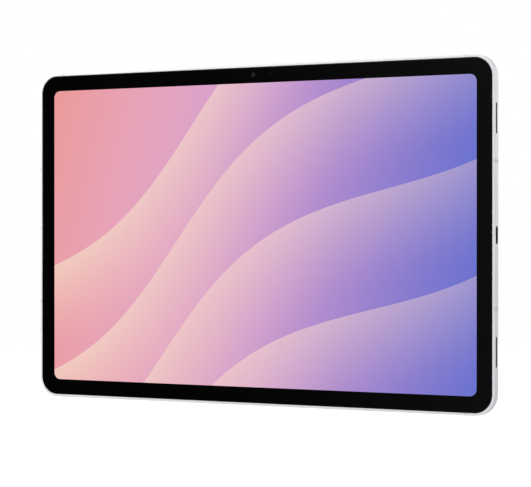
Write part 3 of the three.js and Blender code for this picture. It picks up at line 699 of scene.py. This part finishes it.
FLARE_STEPS = 4
INSERT_GAP = 0.05 * MM
SLOT_FLARE = 0.06 * MM
PORT_FLARE = 0.12 * MM
KEY_FLARE = 0.08 * MM
FINE_FLARE = 0.05 * MM
BAND_SLOT_FRONT = -6.5 * MM


def opening(edge, make_outline, along, across, inner, surface, flare):
    """A cutter through a wall whose mouth at the surface is rounded over by flare."""
    rings = [edge_ring(edge, make_outline(0), along, across, inner)]
    for sine, rise in quarter(FLARE_STEPS):
        out = surface - flare + flare * sine
        rings.append(edge_ring(edge, make_outline(flare * rise), along, across, out))
    rings.append(edge_ring(edge, make_outline(flare), along, across, surface + BEYOND))
    return rings


def bar_opening(edge, along, across, length, width, surface, flare):
    def outline(grow):
        return stadium(length + 2 * grow, width + 2 * grow)

    inner = surface - WALL - BEYOND
    return opening(edge, outline, along, across, inner, surface, flare)


def round_opening(edge, along, across, radius, inner, surface, flare):
    return opening(edge, lambda grow: circle(radius + grow), along, across, inner, surface, flare)


def shell_mesh():
    rings = []
    for sine, rise in quarter(14):
        rings.append(body_ring(BACK_EDGE * (1 - sine), -BACK_EDGE * rise))
    for sine, rise in reversed(quarter(6)):
        rings.append(body_ring(FRONT_EDGE * (1 - sine), RIM_FRONT + FRONT_EDGE * rise))
    lip = 0.06 * MM
    for sine, rise in quarter(3):
        rings.append(body_ring(POCKET_INSET - lip * (1 - sine), RIM_FRONT + lip * rise))
    rings.append(body_ring(POCKET_INSET, LEDGE_Y))
    rings.append(body_ring(WALL, LEDGE_Y))
    rings.append(body_ring(WALL, -BACK_WALL))
    return loft("shell_blank", rings)


def shell_openings():
    solids = []
    for name in GRILLES:
        place = middle(name)
        edge = "right" if place.x > 0 else "left"
        solids.append(bar_opening(
            edge, place.z, place.y, SLOT_LENGTH, SLOT_WIDTH, HALF_WIDTH, SLOT_FLARE))
    port = middle("port_shell")
    solids.append(bar_opening("right", port.z, port.y, PORT_LENGTH, PORT_WIDTH, HALF_WIDTH, PORT_FLARE))
    around = 2 * KEY_CLEARANCE
    for name in ("volume_key", "power_key"):
        place = middle(name)
        length = extent(name).x - 2 * KEY_EAR
        solids.append(bar_opening(
            "top", place.x, place.y, length + around, KEY_WIDTH + around, HALF_HEIGHT, KEY_FLARE))
    tray = middle("card_tray")
    solids.append(bar_opening(
        "top", tray.x, tray.y, extent("card_tray").x + around / 2, KEY_WIDTH + around / 2,
        HALF_HEIGHT, FINE_FLARE))
    microphone = middle("microphone")
    inner = HALF_HEIGHT - WALL - BEYOND
    solids.append(round_opening(
        "top", microphone.x, microphone.y, MICROPHONE_RADIUS, inner, HALF_HEIGHT, KEY_FLARE))
    contacts = middle("contact_block")
    size = extent("contact_block")
    solids.append(bar_opening(
        "bottom", contacts.x, contacts.y, size.x + 2 * INSERT_GAP, size.y + 2 * INSERT_GAP,
        HALF_HEIGHT, FINE_FLARE))
    ring = middle("rear_camera_ring")
    flash = middle("flash_lens")
    inner = -BACK_WALL - BEYOND
    ring_radius = extent("rear_camera_ring").x / 2
    solids.append(round_opening(
        "back", ring.x, ring.z, ring_radius + INSERT_GAP, inner, 0, FINE_FLARE))
    solids.append(round_opening(
        "back", flash.x, flash.z, FLASH_RADIUS + INSERT_GAP, inner, 0, SLOT_FLARE))
    solids.append(round_opening(
        "back", flash.x, flash.z - REAR_MICROPHONE_DROP, MICROPHONE_RADIUS, inner, 0, SLOT_FLARE))
    for edge, along, surface in BAND_PLACES.values():
        half = BAND_WIDTH / 2 + BAND_GAP
        outline = [
            (half, BAND_SLOT_FRONT), (half, BEYOND), (-half, BEYOND), (-half, BAND_SLOT_FRONT)]
        depth = surface - BACK_EDGE - BAND_GAP
        solids.append([
            edge_ring(edge, outline, along, 0, out) for out in (depth, surface + BEYOND)])
    return loft_many("shell_openings", solids)


def band_place(name):
    place = middle(name)
    if name.startswith("band_right"):
        return "right", place.z, HALF_WIDTH
    if name.startswith("band_left"):
        return "left", place.z, HALF_WIDTH
    if name.startswith("band_top"):
        return "top", place.x, HALF_HEIGHT
    return "bottom", place.x, HALF_HEIGHT


BAND_PLACES = {name: band_place(name) for name in frame["nodes"] if name.startswith("band_")}


def make_shell():
    mesh = cut(shell_mesh(), shell_openings(), "rear_shell")
    smooth_body(mesh)
    piece("rear_shell", mesh, [ALUMINIUM], "shell", replaces=["rear_housing"], weighted=False)


# ---------- antenna bands ----------


def band_section(shrink):
    """(inset, y) points round a band, its outside pulled in by shrink."""
    points = []
    for sine, rise in quarter(14):
        points.append((BACK_EDGE * (1 - sine) + shrink, -BACK_EDGE * rise - shrink * (1 - sine)))
    for sine, rise in reversed(quarter(6)):
        y = RIM_FRONT + FRONT_EDGE * rise + shrink * (1 - sine)
        points.append((FRONT_EDGE * (1 - sine) + shrink, y))
    points += [(POCKET_INSET, RIM_FRONT + shrink), (POCKET_INSET, LEDGE_Y)]
    points.append((BACK_EDGE + shrink, LEDGE_Y))
    return points


def make_bands():
    edge_round = 0.03 * MM
    half = BAND_WIDTH / 2
    for name, (edge, along, surface) in BAND_PLACES.items():
        point = EDGES[edge]
        rings = []
        for offset, shrink in (
            (-half, edge_round), (-half + edge_round, 0), (half - edge_round, 0), (half, edge_round)
        ):
            rings.append([point(along + offset, y, surface - inset) for inset, y in band_section(shrink)])
        mesh = loft("strip_" + name, rings)
        smooth_body(mesh)
        piece("strip_" + name, mesh, [BAND_PLASTIC], "band", replaces=[name], weighted=False)


# ---------- cover glass ----------

GLASS_CURVE_WIDTH = 0.45 * MM
GLASS_CURVE_HEIGHT = 0.16 * MM
SCREEN_LINE = 0.12 * MM


def make_glass():
    rings = [body_ring(GLASS_INSET, GLASS_BACK)]
    for sine, rise in reversed(quarter(6)):
        inset = GLASS_INSET + GLASS_CURVE_WIDTH * (1 - sine)
        rings.append(body_ring(inset, GLASS_FRONT + GLASS_CURVE_HEIGHT * rise))
    for grow in (SCREEN_LINE, 0):
        outline = rounded_outline(
            SCREEN_WIDTH + 2 * grow, SCREEN_HEIGHT + 2 * grow, SCREEN_CORNER + grow, CORNER_STEPS)
        rings.append(face_ring(outline, GLASS_FRONT))
    mesh = loft("cover_sheet", rings)
    piece(
        "cover_sheet", mesh, [BLACK_GLASS, LIT_SCREEN, SCREEN_EDGE], "front_glass",
        replaces=["cover_glass"])
    for face in mesh.polygons:
        if face.normal.y > -0.99:
            continue
        if len(face.vertices) > 4:
            face.material_index = 1
        elif is_in_line(face.center):
            face.material_index = 2


def is_in_line(place):
    """Whether a point lies in the thin line round the lit screen."""
    qx = abs(place.x) - (SCREEN_WIDTH / 2 - SCREEN_CORNER)
    qz = abs(place.z) - (SCREEN_HEIGHT / 2 - SCREEN_CORNER)
    if qx > 0 and qz > 0:
        reach = math.hypot(qx, qz) - SCREEN_CORNER
    else:
        reach = max(qx, qz) - SCREEN_CORNER
    return 0 < reach < SCREEN_LINE


# ---------- keys ----------

KEY_EDGE = 0.32 * MM
KEY_CROWN = 0.05 * MM
KEY_CROWN_REACH = 0.5 * MM


def make_key(name):
    low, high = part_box(name)
    place = (low + high) / 2
    size = (high.x - low.x - 2 * KEY_EAR, KEY_WIDTH)
    top = high.z - KEY_CROWN
    rings = [bar_ring("top", place, size, 0, low.z)]
    for sine, rise in quarter(8):
        rings.append(bar_ring("top", place, size, KEY_EDGE * rise, top - KEY_EDGE + KEY_EDGE * sine))
    middle_reach = KEY_EDGE + KEY_CROWN_REACH / 2
    rings.append(bar_ring("top", place, size, middle_reach, high.z - KEY_CROWN * 0.35))
    rings.append(bar_ring("top", place, size, KEY_EDGE + KEY_CROWN_REACH, high.z))
    mesh = loft(name + "_cap", rings)
    piece(name + "_cap", mesh, [ALUMINIUM], "shell", body=name, replaces=[name])


# ---------- card tray ----------

TRAY_FACE = 1.65 * MM
TRAY_EDGE = 0.07 * MM
EJECT_SHIFT = 7 * MM
EJECT_RADIUS = 0.45 * MM
BLADE_WIDTH = 16 * MM
BLADE_CORNER = 1.2 * MM
BLADE_BEVEL = 0.1 * MM
SEAT_WIDTH = 12.4 * MM
SEAT_HEIGHT = 15.5 * MM
SEAT_CORNER = 0.9 * MM
SEAT_LEDGE = 0.8 * MM
SEAT_DEPTH = 0.3 * MM


def make_tray():
    low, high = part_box("card_tray")
    place = (low + high) / 2
    size = (high.x - low.x, KEY_WIDTH)
    bottom = HALF_HEIGHT - TRAY_FACE
    rings = [bar_ring("top", place, size, TRAY_EDGE, bottom)]
    rings.append(bar_ring("top", place, size, 0, bottom + TRAY_EDGE))
    for sine, rise in quarter(4):
        out = high.z - TRAY_EDGE + TRAY_EDGE * sine
        rings.append(bar_ring("top", place, size, TRAY_EDGE * rise, out))
    eject = round_opening(
        "top", place.x + EJECT_SHIFT, place.y + 0.2 * MM, EJECT_RADIUS, bottom - BEYOND, high.z,
        SLOT_FLARE)
    mesh = cut(loft("tray_front", rings), loft_many("eject_hole", [eject]), "tray_front")
    piece("tray_front", mesh, [ALUMINIUM], "shell", body="card_tray", replaces=["card_tray"])

    # The blade: a thin frame with a ledge inside that the card rests on.
    blade_high = bottom + 0.05 * MM
    blade_middle = (low.z + blade_high) / 2
    seat_middle = low.z + 2 * MM + SEAT_HEIGHT / 2
    face = 0.5 * MM

    def outer(inset, y):
        outline = rounded_outline(
            BLADE_WIDTH - 2 * inset, blade_high - low.z - 2 * inset, BLADE_CORNER - inset, 8)
        return [Vector((place.x + u, place.y + y, blade_middle + v)) for u, v in outline]

    def inner(inset, y):
        outline = rounded_outline(SEAT_WIDTH - 2 * inset, SEAT_HEIGHT - 2 * inset, SEAT_CORNER, 8)
        return [Vector((place.x + u, place.y + y, seat_middle + v)) for u, v in outline]

    rings = [
        outer(BLADE_BEVEL, -face),
        outer(0, -face + BLADE_BEVEL),
        outer(0, face - BLADE_BEVEL),
        outer(BLADE_BEVEL, face),
        inner(SEAT_LEDGE, face),
        inner(SEAT_LEDGE, face - SEAT_DEPTH),
        inner(0, face - SEAT_DEPTH),
        inner(0, -face + BLADE_BEVEL),
        inner(-BLADE_BEVEL, -face),
    ]
    mesh = loft("tray_blade", rings, closed=True)
    piece("tray_blade", mesh, [ALUMINIUM], "shell", body="card_tray")


# ---------- speaker grilles ----------

MESH_HOLE_RADIUS = 0.15 * MM
MESH_PITCH = 0.5 * MM
MESH_MARGIN = 1.2 * MM
LINING_DEPTH = 0.1 * MM


def make_lining(name, edge, place, size, insets, mouth, bevel, front, back, steps):
    """A black sleeve in a bar-shaped opening, its wall between two insets and its mouth bevelled."""
    outer, inner = insets
    section = ((outer, front), (outer, back), (inner, back), (inner, front - bevel), (mouth, front))
    rings = [bar_ring(edge, place, size, inset, out, steps) for inset, out in section]
    piece(name, loft(name, rings, closed=True), [BLACK_PLASTIC], "dark_plastic")


def make_grilles():
    """Perforated plates, each behind a short black lining of its slot."""
    for name in GRILLES:
        place = middle(name)
        size = extent(name)
        edge = "right" if place.x > 0 else "left"
        back = abs(place.x) - size.x / 2
        front = abs(place.x) + size.x / 2
        plate = loft("plate", [
            bar_ring(edge, place, (size.z, size.y), 0, out, 10) for out in (back, front)])
        holes = []
        count = int((size.z - MESH_MARGIN) / MESH_PITCH)
        for row in (-1, 1):
            for index in range(count):
                along = (index - (count - 1) / 2 + row * 0.25) * MESH_PITCH
                across = row * MESH_PITCH * 0.5
                holes.append([
                    edge_ring(edge, circle(MESH_HOLE_RADIUS, 8), place.z + along, place.y + across, out)
                    for out in (back - BEYOND / 4, front + BEYOND / 4)
                ])
        mesh = cut(plate, loft_many("mesh_holes", holes), "mesh_" + name)
        piece("mesh_" + name, mesh, [BLACK_MESH], "grille", replaces=[name], weighted=False)
        make_lining(
            "lining_" + name, edge, place, (SLOT_LENGTH, SLOT_WIDTH), (0.02 * MM, 0.14 * MM),
            0.08 * MM, 0.08 * MM, HALF_WIDTH - LINING_DEPTH, front, 10)


# ---------- port ----------

TONGUE_LENGTH = 6.6 * MM
TONGUE_THICKNESS = 0.7 * MM
CONTACT_PITCH = 0.5 * MM
CONTACT_WIDTH = 0.27 * MM
CONTACT_COUNT = 12
CONTACT_THICKNESS = 0.08 * MM
CONTACT_RISE = 0.03 * MM
CONTACT_REACH = (3.9 * MM, 0.35 * MM)
TONGUE_CORNER = 0.16 * MM
TONGUE_NOSE = 0.12 * MM
SLEEVE_WALL = 0.2 * MM
SLEEVE_LIP = 0.06 * MM
COLLAR_DEPTH = 0.3 * MM


def make_port():
    low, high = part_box("port_shell")
    place = (low + high) / 2
    size = high - low

    def ring(inset, out):
        return bar_ring("right", place, (size.z, size.y), inset, out)

    rings = [
        ring(0, low.x), ring(0, high.x - SLEEVE_LIP), ring(SLEEVE_LIP, high.x),
        ring(SLEEVE_WALL - SLEEVE_LIP, high.x), ring(SLEEVE_WALL, high.x - SLEEVE_LIP),
        ring(SLEEVE_WALL, low.x),
    ]
    mesh = loft("port_sleeve", rings, closed=True)
    piece("port_sleeve", mesh, [PORT_STEEL], "sheet_steel", replaces=["port_shell"])
    make_lining(
        "port_collar", "right", place, (PORT_LENGTH, PORT_WIDTH), (0.01 * MM, 0.1 * MM),
        0.06 * MM, 0.06 * MM, HALF_WIDTH - COLLAR_DEPTH, high.x, 16)

    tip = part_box("port_tongue")[1].x

    def blade(inset, out):
        outline = rounded_outline(
            TONGUE_LENGTH - 2 * inset, TONGUE_THICKNESS - 2 * inset, TONGUE_CORNER - inset / 2, 5)
        return edge_ring("right", outline, place.z, place.y, out)

    inside = SLEEVE_WALL + 0.01 * MM
    base = [ring(inside, low.x + 0.1 * MM), ring(inside, low.x + 1.2 * MM)]
    tongue = [
        blade(0, low.x + MM),
        blade(0, tip - TONGUE_NOSE),
        blade(TONGUE_NOSE * 0.3, tip - TONGUE_NOSE * 0.3),
        blade(TONGUE_NOSE, tip),
    ]
    mesh = loft_many("port_blade", [base, tongue])
    piece("port_blade", mesh, [BLACK_PLASTIC], "dark_plastic", replaces=["port_tongue"])

    pads = []
    outline = rounded_outline(CONTACT_WIDTH, CONTACT_THICKNESS, 0.03 * MM, 3)
    surface = TONGUE_THICKNESS / 2 + CONTACT_RISE
    for face in (-1, 1):
        for index in range(CONTACT_COUNT):
            along = place.z + (index - (CONTACT_COUNT - 1) / 2) * CONTACT_PITCH
            across = place.y + face * (surface - CONTACT_THICKNESS / 2)
            pads.append([
                edge_ring("right", outline, along, across, tip - reach) for reach in CONTACT_REACH])
    mesh = loft_many("port_contacts", pads)
    piece("port_contacts", mesh, [GOLD], "gold", weighted=False)


# ---------- rear camera and flash ----------

RING_WIDTH = 1.3 * MM
RING_OUTER_EDGE = 0.3 * MM
RING_INNER_EDGE = 0.18 * MM
WINDOW_GAP = 0.03 * MM
WINDOW_CHAMFER = 0.14 * MM
LENS_WELL = 2.7 * MM
BAFFLE_GAP = 0.02 * MM
BAFFLE_STEPS = 5
BAFFLE_TREAD = 0.16 * MM
BAFFLE_RISE = 0.13 * MM
BAFFLE_TOP = 0.25 * MM
BAFFLE_LIP = 0.11 * MM
BAFFLE_FOOT = -0.7 * MM
LENS_RADIUS = 1.85 * MM
LENS_BACK = -0.6 * MM
LENS_SIDE = -0.35 * MM
LENS_BULGE = 0.42 * MM


def make_camera():
    low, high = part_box("rear_camera_ring")
    centre = (low + high) / 2
    outer = (high.x - low.x) / 2
    inner = outer - RING_WIDTH
    profile = [(inner, low.y), (outer, low.y)]
    for sine, rise in quarter(6):
        y = high.y - RING_OUTER_EDGE + RING_OUTER_EDGE * sine
        profile.append((outer - RING_OUTER_EDGE * rise, y))
    for sine, rise in reversed(quarter(5)):
        y = high.y - RING_INNER_EDGE + RING_INNER_EDGE * sine
        profile.append((inner + RING_INNER_EDGE * rise, y))
    mesh = revolve("camera_ring", profile, centre)
    piece("camera_ring", mesh, [CAMERA_TRIM], "camera_trim", replaces=["rear_camera_ring"])

    low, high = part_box("rear_camera_glass")
    glass_radius = inner - WINDOW_GAP
    profile = [
        (LENS_WELL, low.y),
        (glass_radius, low.y),
        (glass_radius, high.y - WINDOW_CHAMFER),
        (glass_radius - WINDOW_CHAMFER, high.y),
        (LENS_WELL + WINDOW_CHAMFER, high.y),
        (LENS_WELL, high.y - WINDOW_CHAMFER),
    ]
    mesh = revolve("camera_window", profile, centre)
    piece("camera_window", mesh, [LENS_BLACK], "lens", replaces=["rear_camera_glass"])

    # Stepped baffle that narrows towards the front lens.
    wall = LENS_WELL + BAFFLE_GAP
    profile = [(wall, low.y + 0.2 * MM)]
    for step in range(BAFFLE_STEPS + 1):
        radius = LENS_WELL - step * BAFFLE_TREAD
        y = high.y - BAFFLE_TOP - step * BAFFLE_RISE
        profile.append((radius, y))
        profile.append((radius - BAFFLE_LIP, y))
    profile.append((profile[-1][0], BAFFLE_FOOT))
    profile.append((wall, BAFFLE_FOOT))
    mesh = revolve("lens_baffle", profile, centre)
    piece("lens_baffle", mesh, [BAFFLE], "dark_plastic", replaces=["rear_camera_module"])

    profile = [(LENS_RADIUS, LENS_BACK), (LENS_RADIUS, LENS_SIDE)]
    for step in range(1, 11):
        angle = math.pi / 2 * step / 10
        profile.append((LENS_RADIUS * math.cos(angle), LENS_SIDE + LENS_BULGE * math.sin(angle)))
    profile.append((0, LENS_BACK))
    mesh = revolve("front_lens", profile, centre)
    piece("front_lens", mesh, [LENS_COATING], "lens", weighted=False)
    mesh.shade_smooth()


FLASH_EDGE = 0.06 * MM
FLASH_RIDGES = 7
RIDGE_DEPTH = 0.09 * MM
RIDGE_SLOPE = 0.75


def make_flash():
    low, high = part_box("flash_lens")
    profile = [(0, low.y), (FLASH_RADIUS, low.y), (FLASH_RADIUS, high.y - FLASH_EDGE)]
    pitch = (FLASH_RADIUS - 0.1 * MM) / FLASH_RIDGES
    for ridge in range(FLASH_RIDGES):
        radius = FLASH_RADIUS - FLASH_EDGE - ridge * pitch
        profile.append((radius, high.y))
        profile.append((radius - pitch * RIDGE_SLOPE, high.y - RIDGE_DEPTH))
    profile.append((0, high.y - 0.02 * MM))
    mesh = revolve("flash_window", profile, (low + high) / 2, 72)
    piece("flash_window", mesh, [DIFFUSER], "diffuser", replaces=["flash_lens"], weighted=False)


# ---------- keyboard contacts ----------

CONTACT_BAR_EDGE = 0.06 * MM
PIN_GAP = 0.12 * MM
PIN_NOSE = 0.3 * MM


def make_contacts():
    low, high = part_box("contact_block")
    place = (low + high) / 2
    size = high - low
    outside = -low.z
    rings = [
        bar_ring("bottom", place, (size.x, size.y), inset, out)
        for inset, out in (
            (0, outside - 1.5 * MM), (0, outside - CONTACT_BAR_EDGE), (CONTACT_BAR_EDGE, outside))
    ]
    pins = [f"contact_pin_{index}" for index in (1, 2, 3)]
    holes = []
    for name in pins:
        pin = middle(name)
        radius = extent(name).x / 2 + PIN_GAP
        holes.append(round_opening(
            "bottom", pin.x, pin.y, radius, outside - 3 * MM, outside, FINE_FLARE))
    mesh = cut(loft("contact_bar", rings), loft_many("pin_holes", holes), "contact_bar")
    piece("contact_bar", mesh, [BLACK_PLASTIC], "dark_plastic", replaces=["contact_block"])
    for name in pins:
        low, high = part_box(name)
        pin = middle(name)
        radius = (high.x - low.x) / 2
        rings = [edge_ring("bottom", circle(radius, 40), pin.x, pin.y, -high.z)]
        for sine, rise in quarter(8):
            outline = circle(radius * (1 - 0.9 * rise), 40)
            rings.append(edge_ring(
                "bottom", outline, pin.x, pin.y, -low.z - PIN_NOSE + PIN_NOSE * sine))
        mesh = loft(name + "_head", rings)
        piece(name + "_head", mesh, [GOLD], "gold", replaces=[name])


# ---------- CAD nodes that stay ----------


def dress_inner_parts():
    """Every CAD node left showing gets its slot's material."""
    slots = {part["node"]: part["material_slot"] for part in frame["record"]["subparts"]}
    for name, node in frame["nodes"].items():
        if node.hide_render:
            continue
        material = SLOT_MATERIALS[slots[name]]
        if node.material_slots:
            for slot in node.material_slots:
                slot.material = material
        else:
            node.data.materials.append(material)


# ---------- studio ----------


def make_camera_view():
    data = bpy.data.cameras.new("camera")
    data.lens = CAMERA_LENS
    data.sensor_width = 36
    data.clip_end = 100
    view = new_object("camera", data)
    view.location = CAMERA_PLACE
    view.rotation_euler = CAMERA_AIM.to_track_quat("-Z", "Y").to_euler()
    bpy.context.scene.camera = view


def softbox(name, azimuth, elevation, distance, size, radiance):
    """A square white light that faces the origin. Azimuth 0 is behind the tablet and 90 is its right."""
    data = bpy.data.lights.new(name, "AREA")
    data.shape = "SQUARE"
    data.size = size
    data.energy = radiance * math.pi * size * size
    light = new_object(name, data)
    a, e = math.radians(azimuth), math.radians(elevation)
    direction = Vector((math.sin(a) * math.cos(e), math.cos(a) * math.cos(e), math.sin(e)))
    light.location = distance * direction
    light.rotation_euler = (-light.location).to_track_quat("-Z", "Y").to_euler()


# A black flag: the studio is dark in this direction, which the cover glass mirrors to the camera.
FLAG_DIRECTION = Vector((-0.61, -0.786, -0.03)).normalized()
FLAG_FULL = math.radians(4)
FLAG_END = math.radians(34)
FLAG_DEPTH = 0.02
STUDIO_BELOW = 0.58
STUDIO_ABOVE = 0.62


def make_world():
    """White to the eye; for light and gloss, brighter above than below, with the flag cut out."""
    world = bpy.data.worlds.new("studio")
    bpy.context.scene.world = world
    world.use_nodes = True
    world.node_tree.nodes.clear()
    nodes = Nodes(world.node_tree, "Generated")
    height = nodes.split()["Z"]
    brightness = nodes.remap(height, -0.7, 0.8, STUDIO_BELOW, STUDIO_ABOVE, "SMOOTHSTEP")
    along = nodes.add("ShaderNodeVectorMath", operation="DOT_PRODUCT")
    nodes.put(along.inputs[0], nodes.place)
    nodes.put(along.inputs[1], FLAG_DIRECTION)
    angle = nodes.math("ARCCOSINE", along.outputs["Value"])
    clear = nodes.remap(angle, FLAG_FULL, FLAG_END, FLAG_DEPTH, 1.0, "SMOOTHSTEP")
    light = nodes.add("ShaderNodeBackground")
    nodes.put(light.inputs["Strength"], nodes.math("MULTIPLY", brightness, clear))
    nodes.put(light.inputs["Color"], (0.985, 0.992, 1.0, 1.0))
    white = nodes.add("ShaderNodeBackground")
    nodes.put(white.inputs["Strength"], 1.0)
    nodes.put(white.inputs["Color"], (1.0, 1.0, 1.0, 1.0))
    mix = nodes.add("ShaderNodeMixShader")
    nodes.put(mix.inputs[0], nodes.add("ShaderNodeLightPath").outputs["Is Camera Ray"])
    nodes.put(mix.inputs[1], light.outputs[0])
    nodes.put(mix.inputs[2], white.outputs[0])
    nodes.put(nodes.add("ShaderNodeOutputWorld").inputs["Surface"], mix.outputs[0])


def make_floor():
    """A pale floor that takes only a faint shadow and doesn't light the tablet."""
    bm = bmesh.new()
    height = BODY_LOW.z - FLOOR_DROP
    bm.faces.new([bm.verts.new((u, v, height)) for u, v in circle(FLOOR_RADIUS, 96)])
    mesh = finish_mesh("floor", bm)
    floor = new_object("floor", mesh)
    nodes = Finish("pale_floor")
    tone = nodes.blend(nodes.noise(0.05), grey(0.78), grey(0.82))
    nodes.shade(Base_Color=tone, Roughness=0.9)
    nodes.shade(Emission_Color=(1, 1, 1, 1), Emission_Strength=0.75)
    mesh.materials.append(nodes.material)
    floor.visible_diffuse = False
    floor.visible_glossy = False
    floor.visible_transmission = False


make_camera_view()
make_shell()
make_bands()
make_glass()
make_key("volume_key")
make_key("power_key")
make_tray()
make_grilles()
make_port()
make_camera()
make_flash()
make_contacts()
dress_inner_parts()
make_world()
make_floor()
softbox("front_left", -115, 18, 0.7, 0.5, 2.6)
softbox("front_top", -170, 52, 0.8, 0.8, 1.25)
softbox("front_bottom", 170, -48, 0.8, 0.8, 0.85)
softbox("front_right", 132, 15, 0.7, 0.4, 0.5)
softbox("right_rear", 50, 15, 0.42, 0.2, 1.15)
softbox("left_rear", -55, 32, 0.5, 0.3, 1.3)
bpy.context.scene.view_settings.view_transform = "Standard"
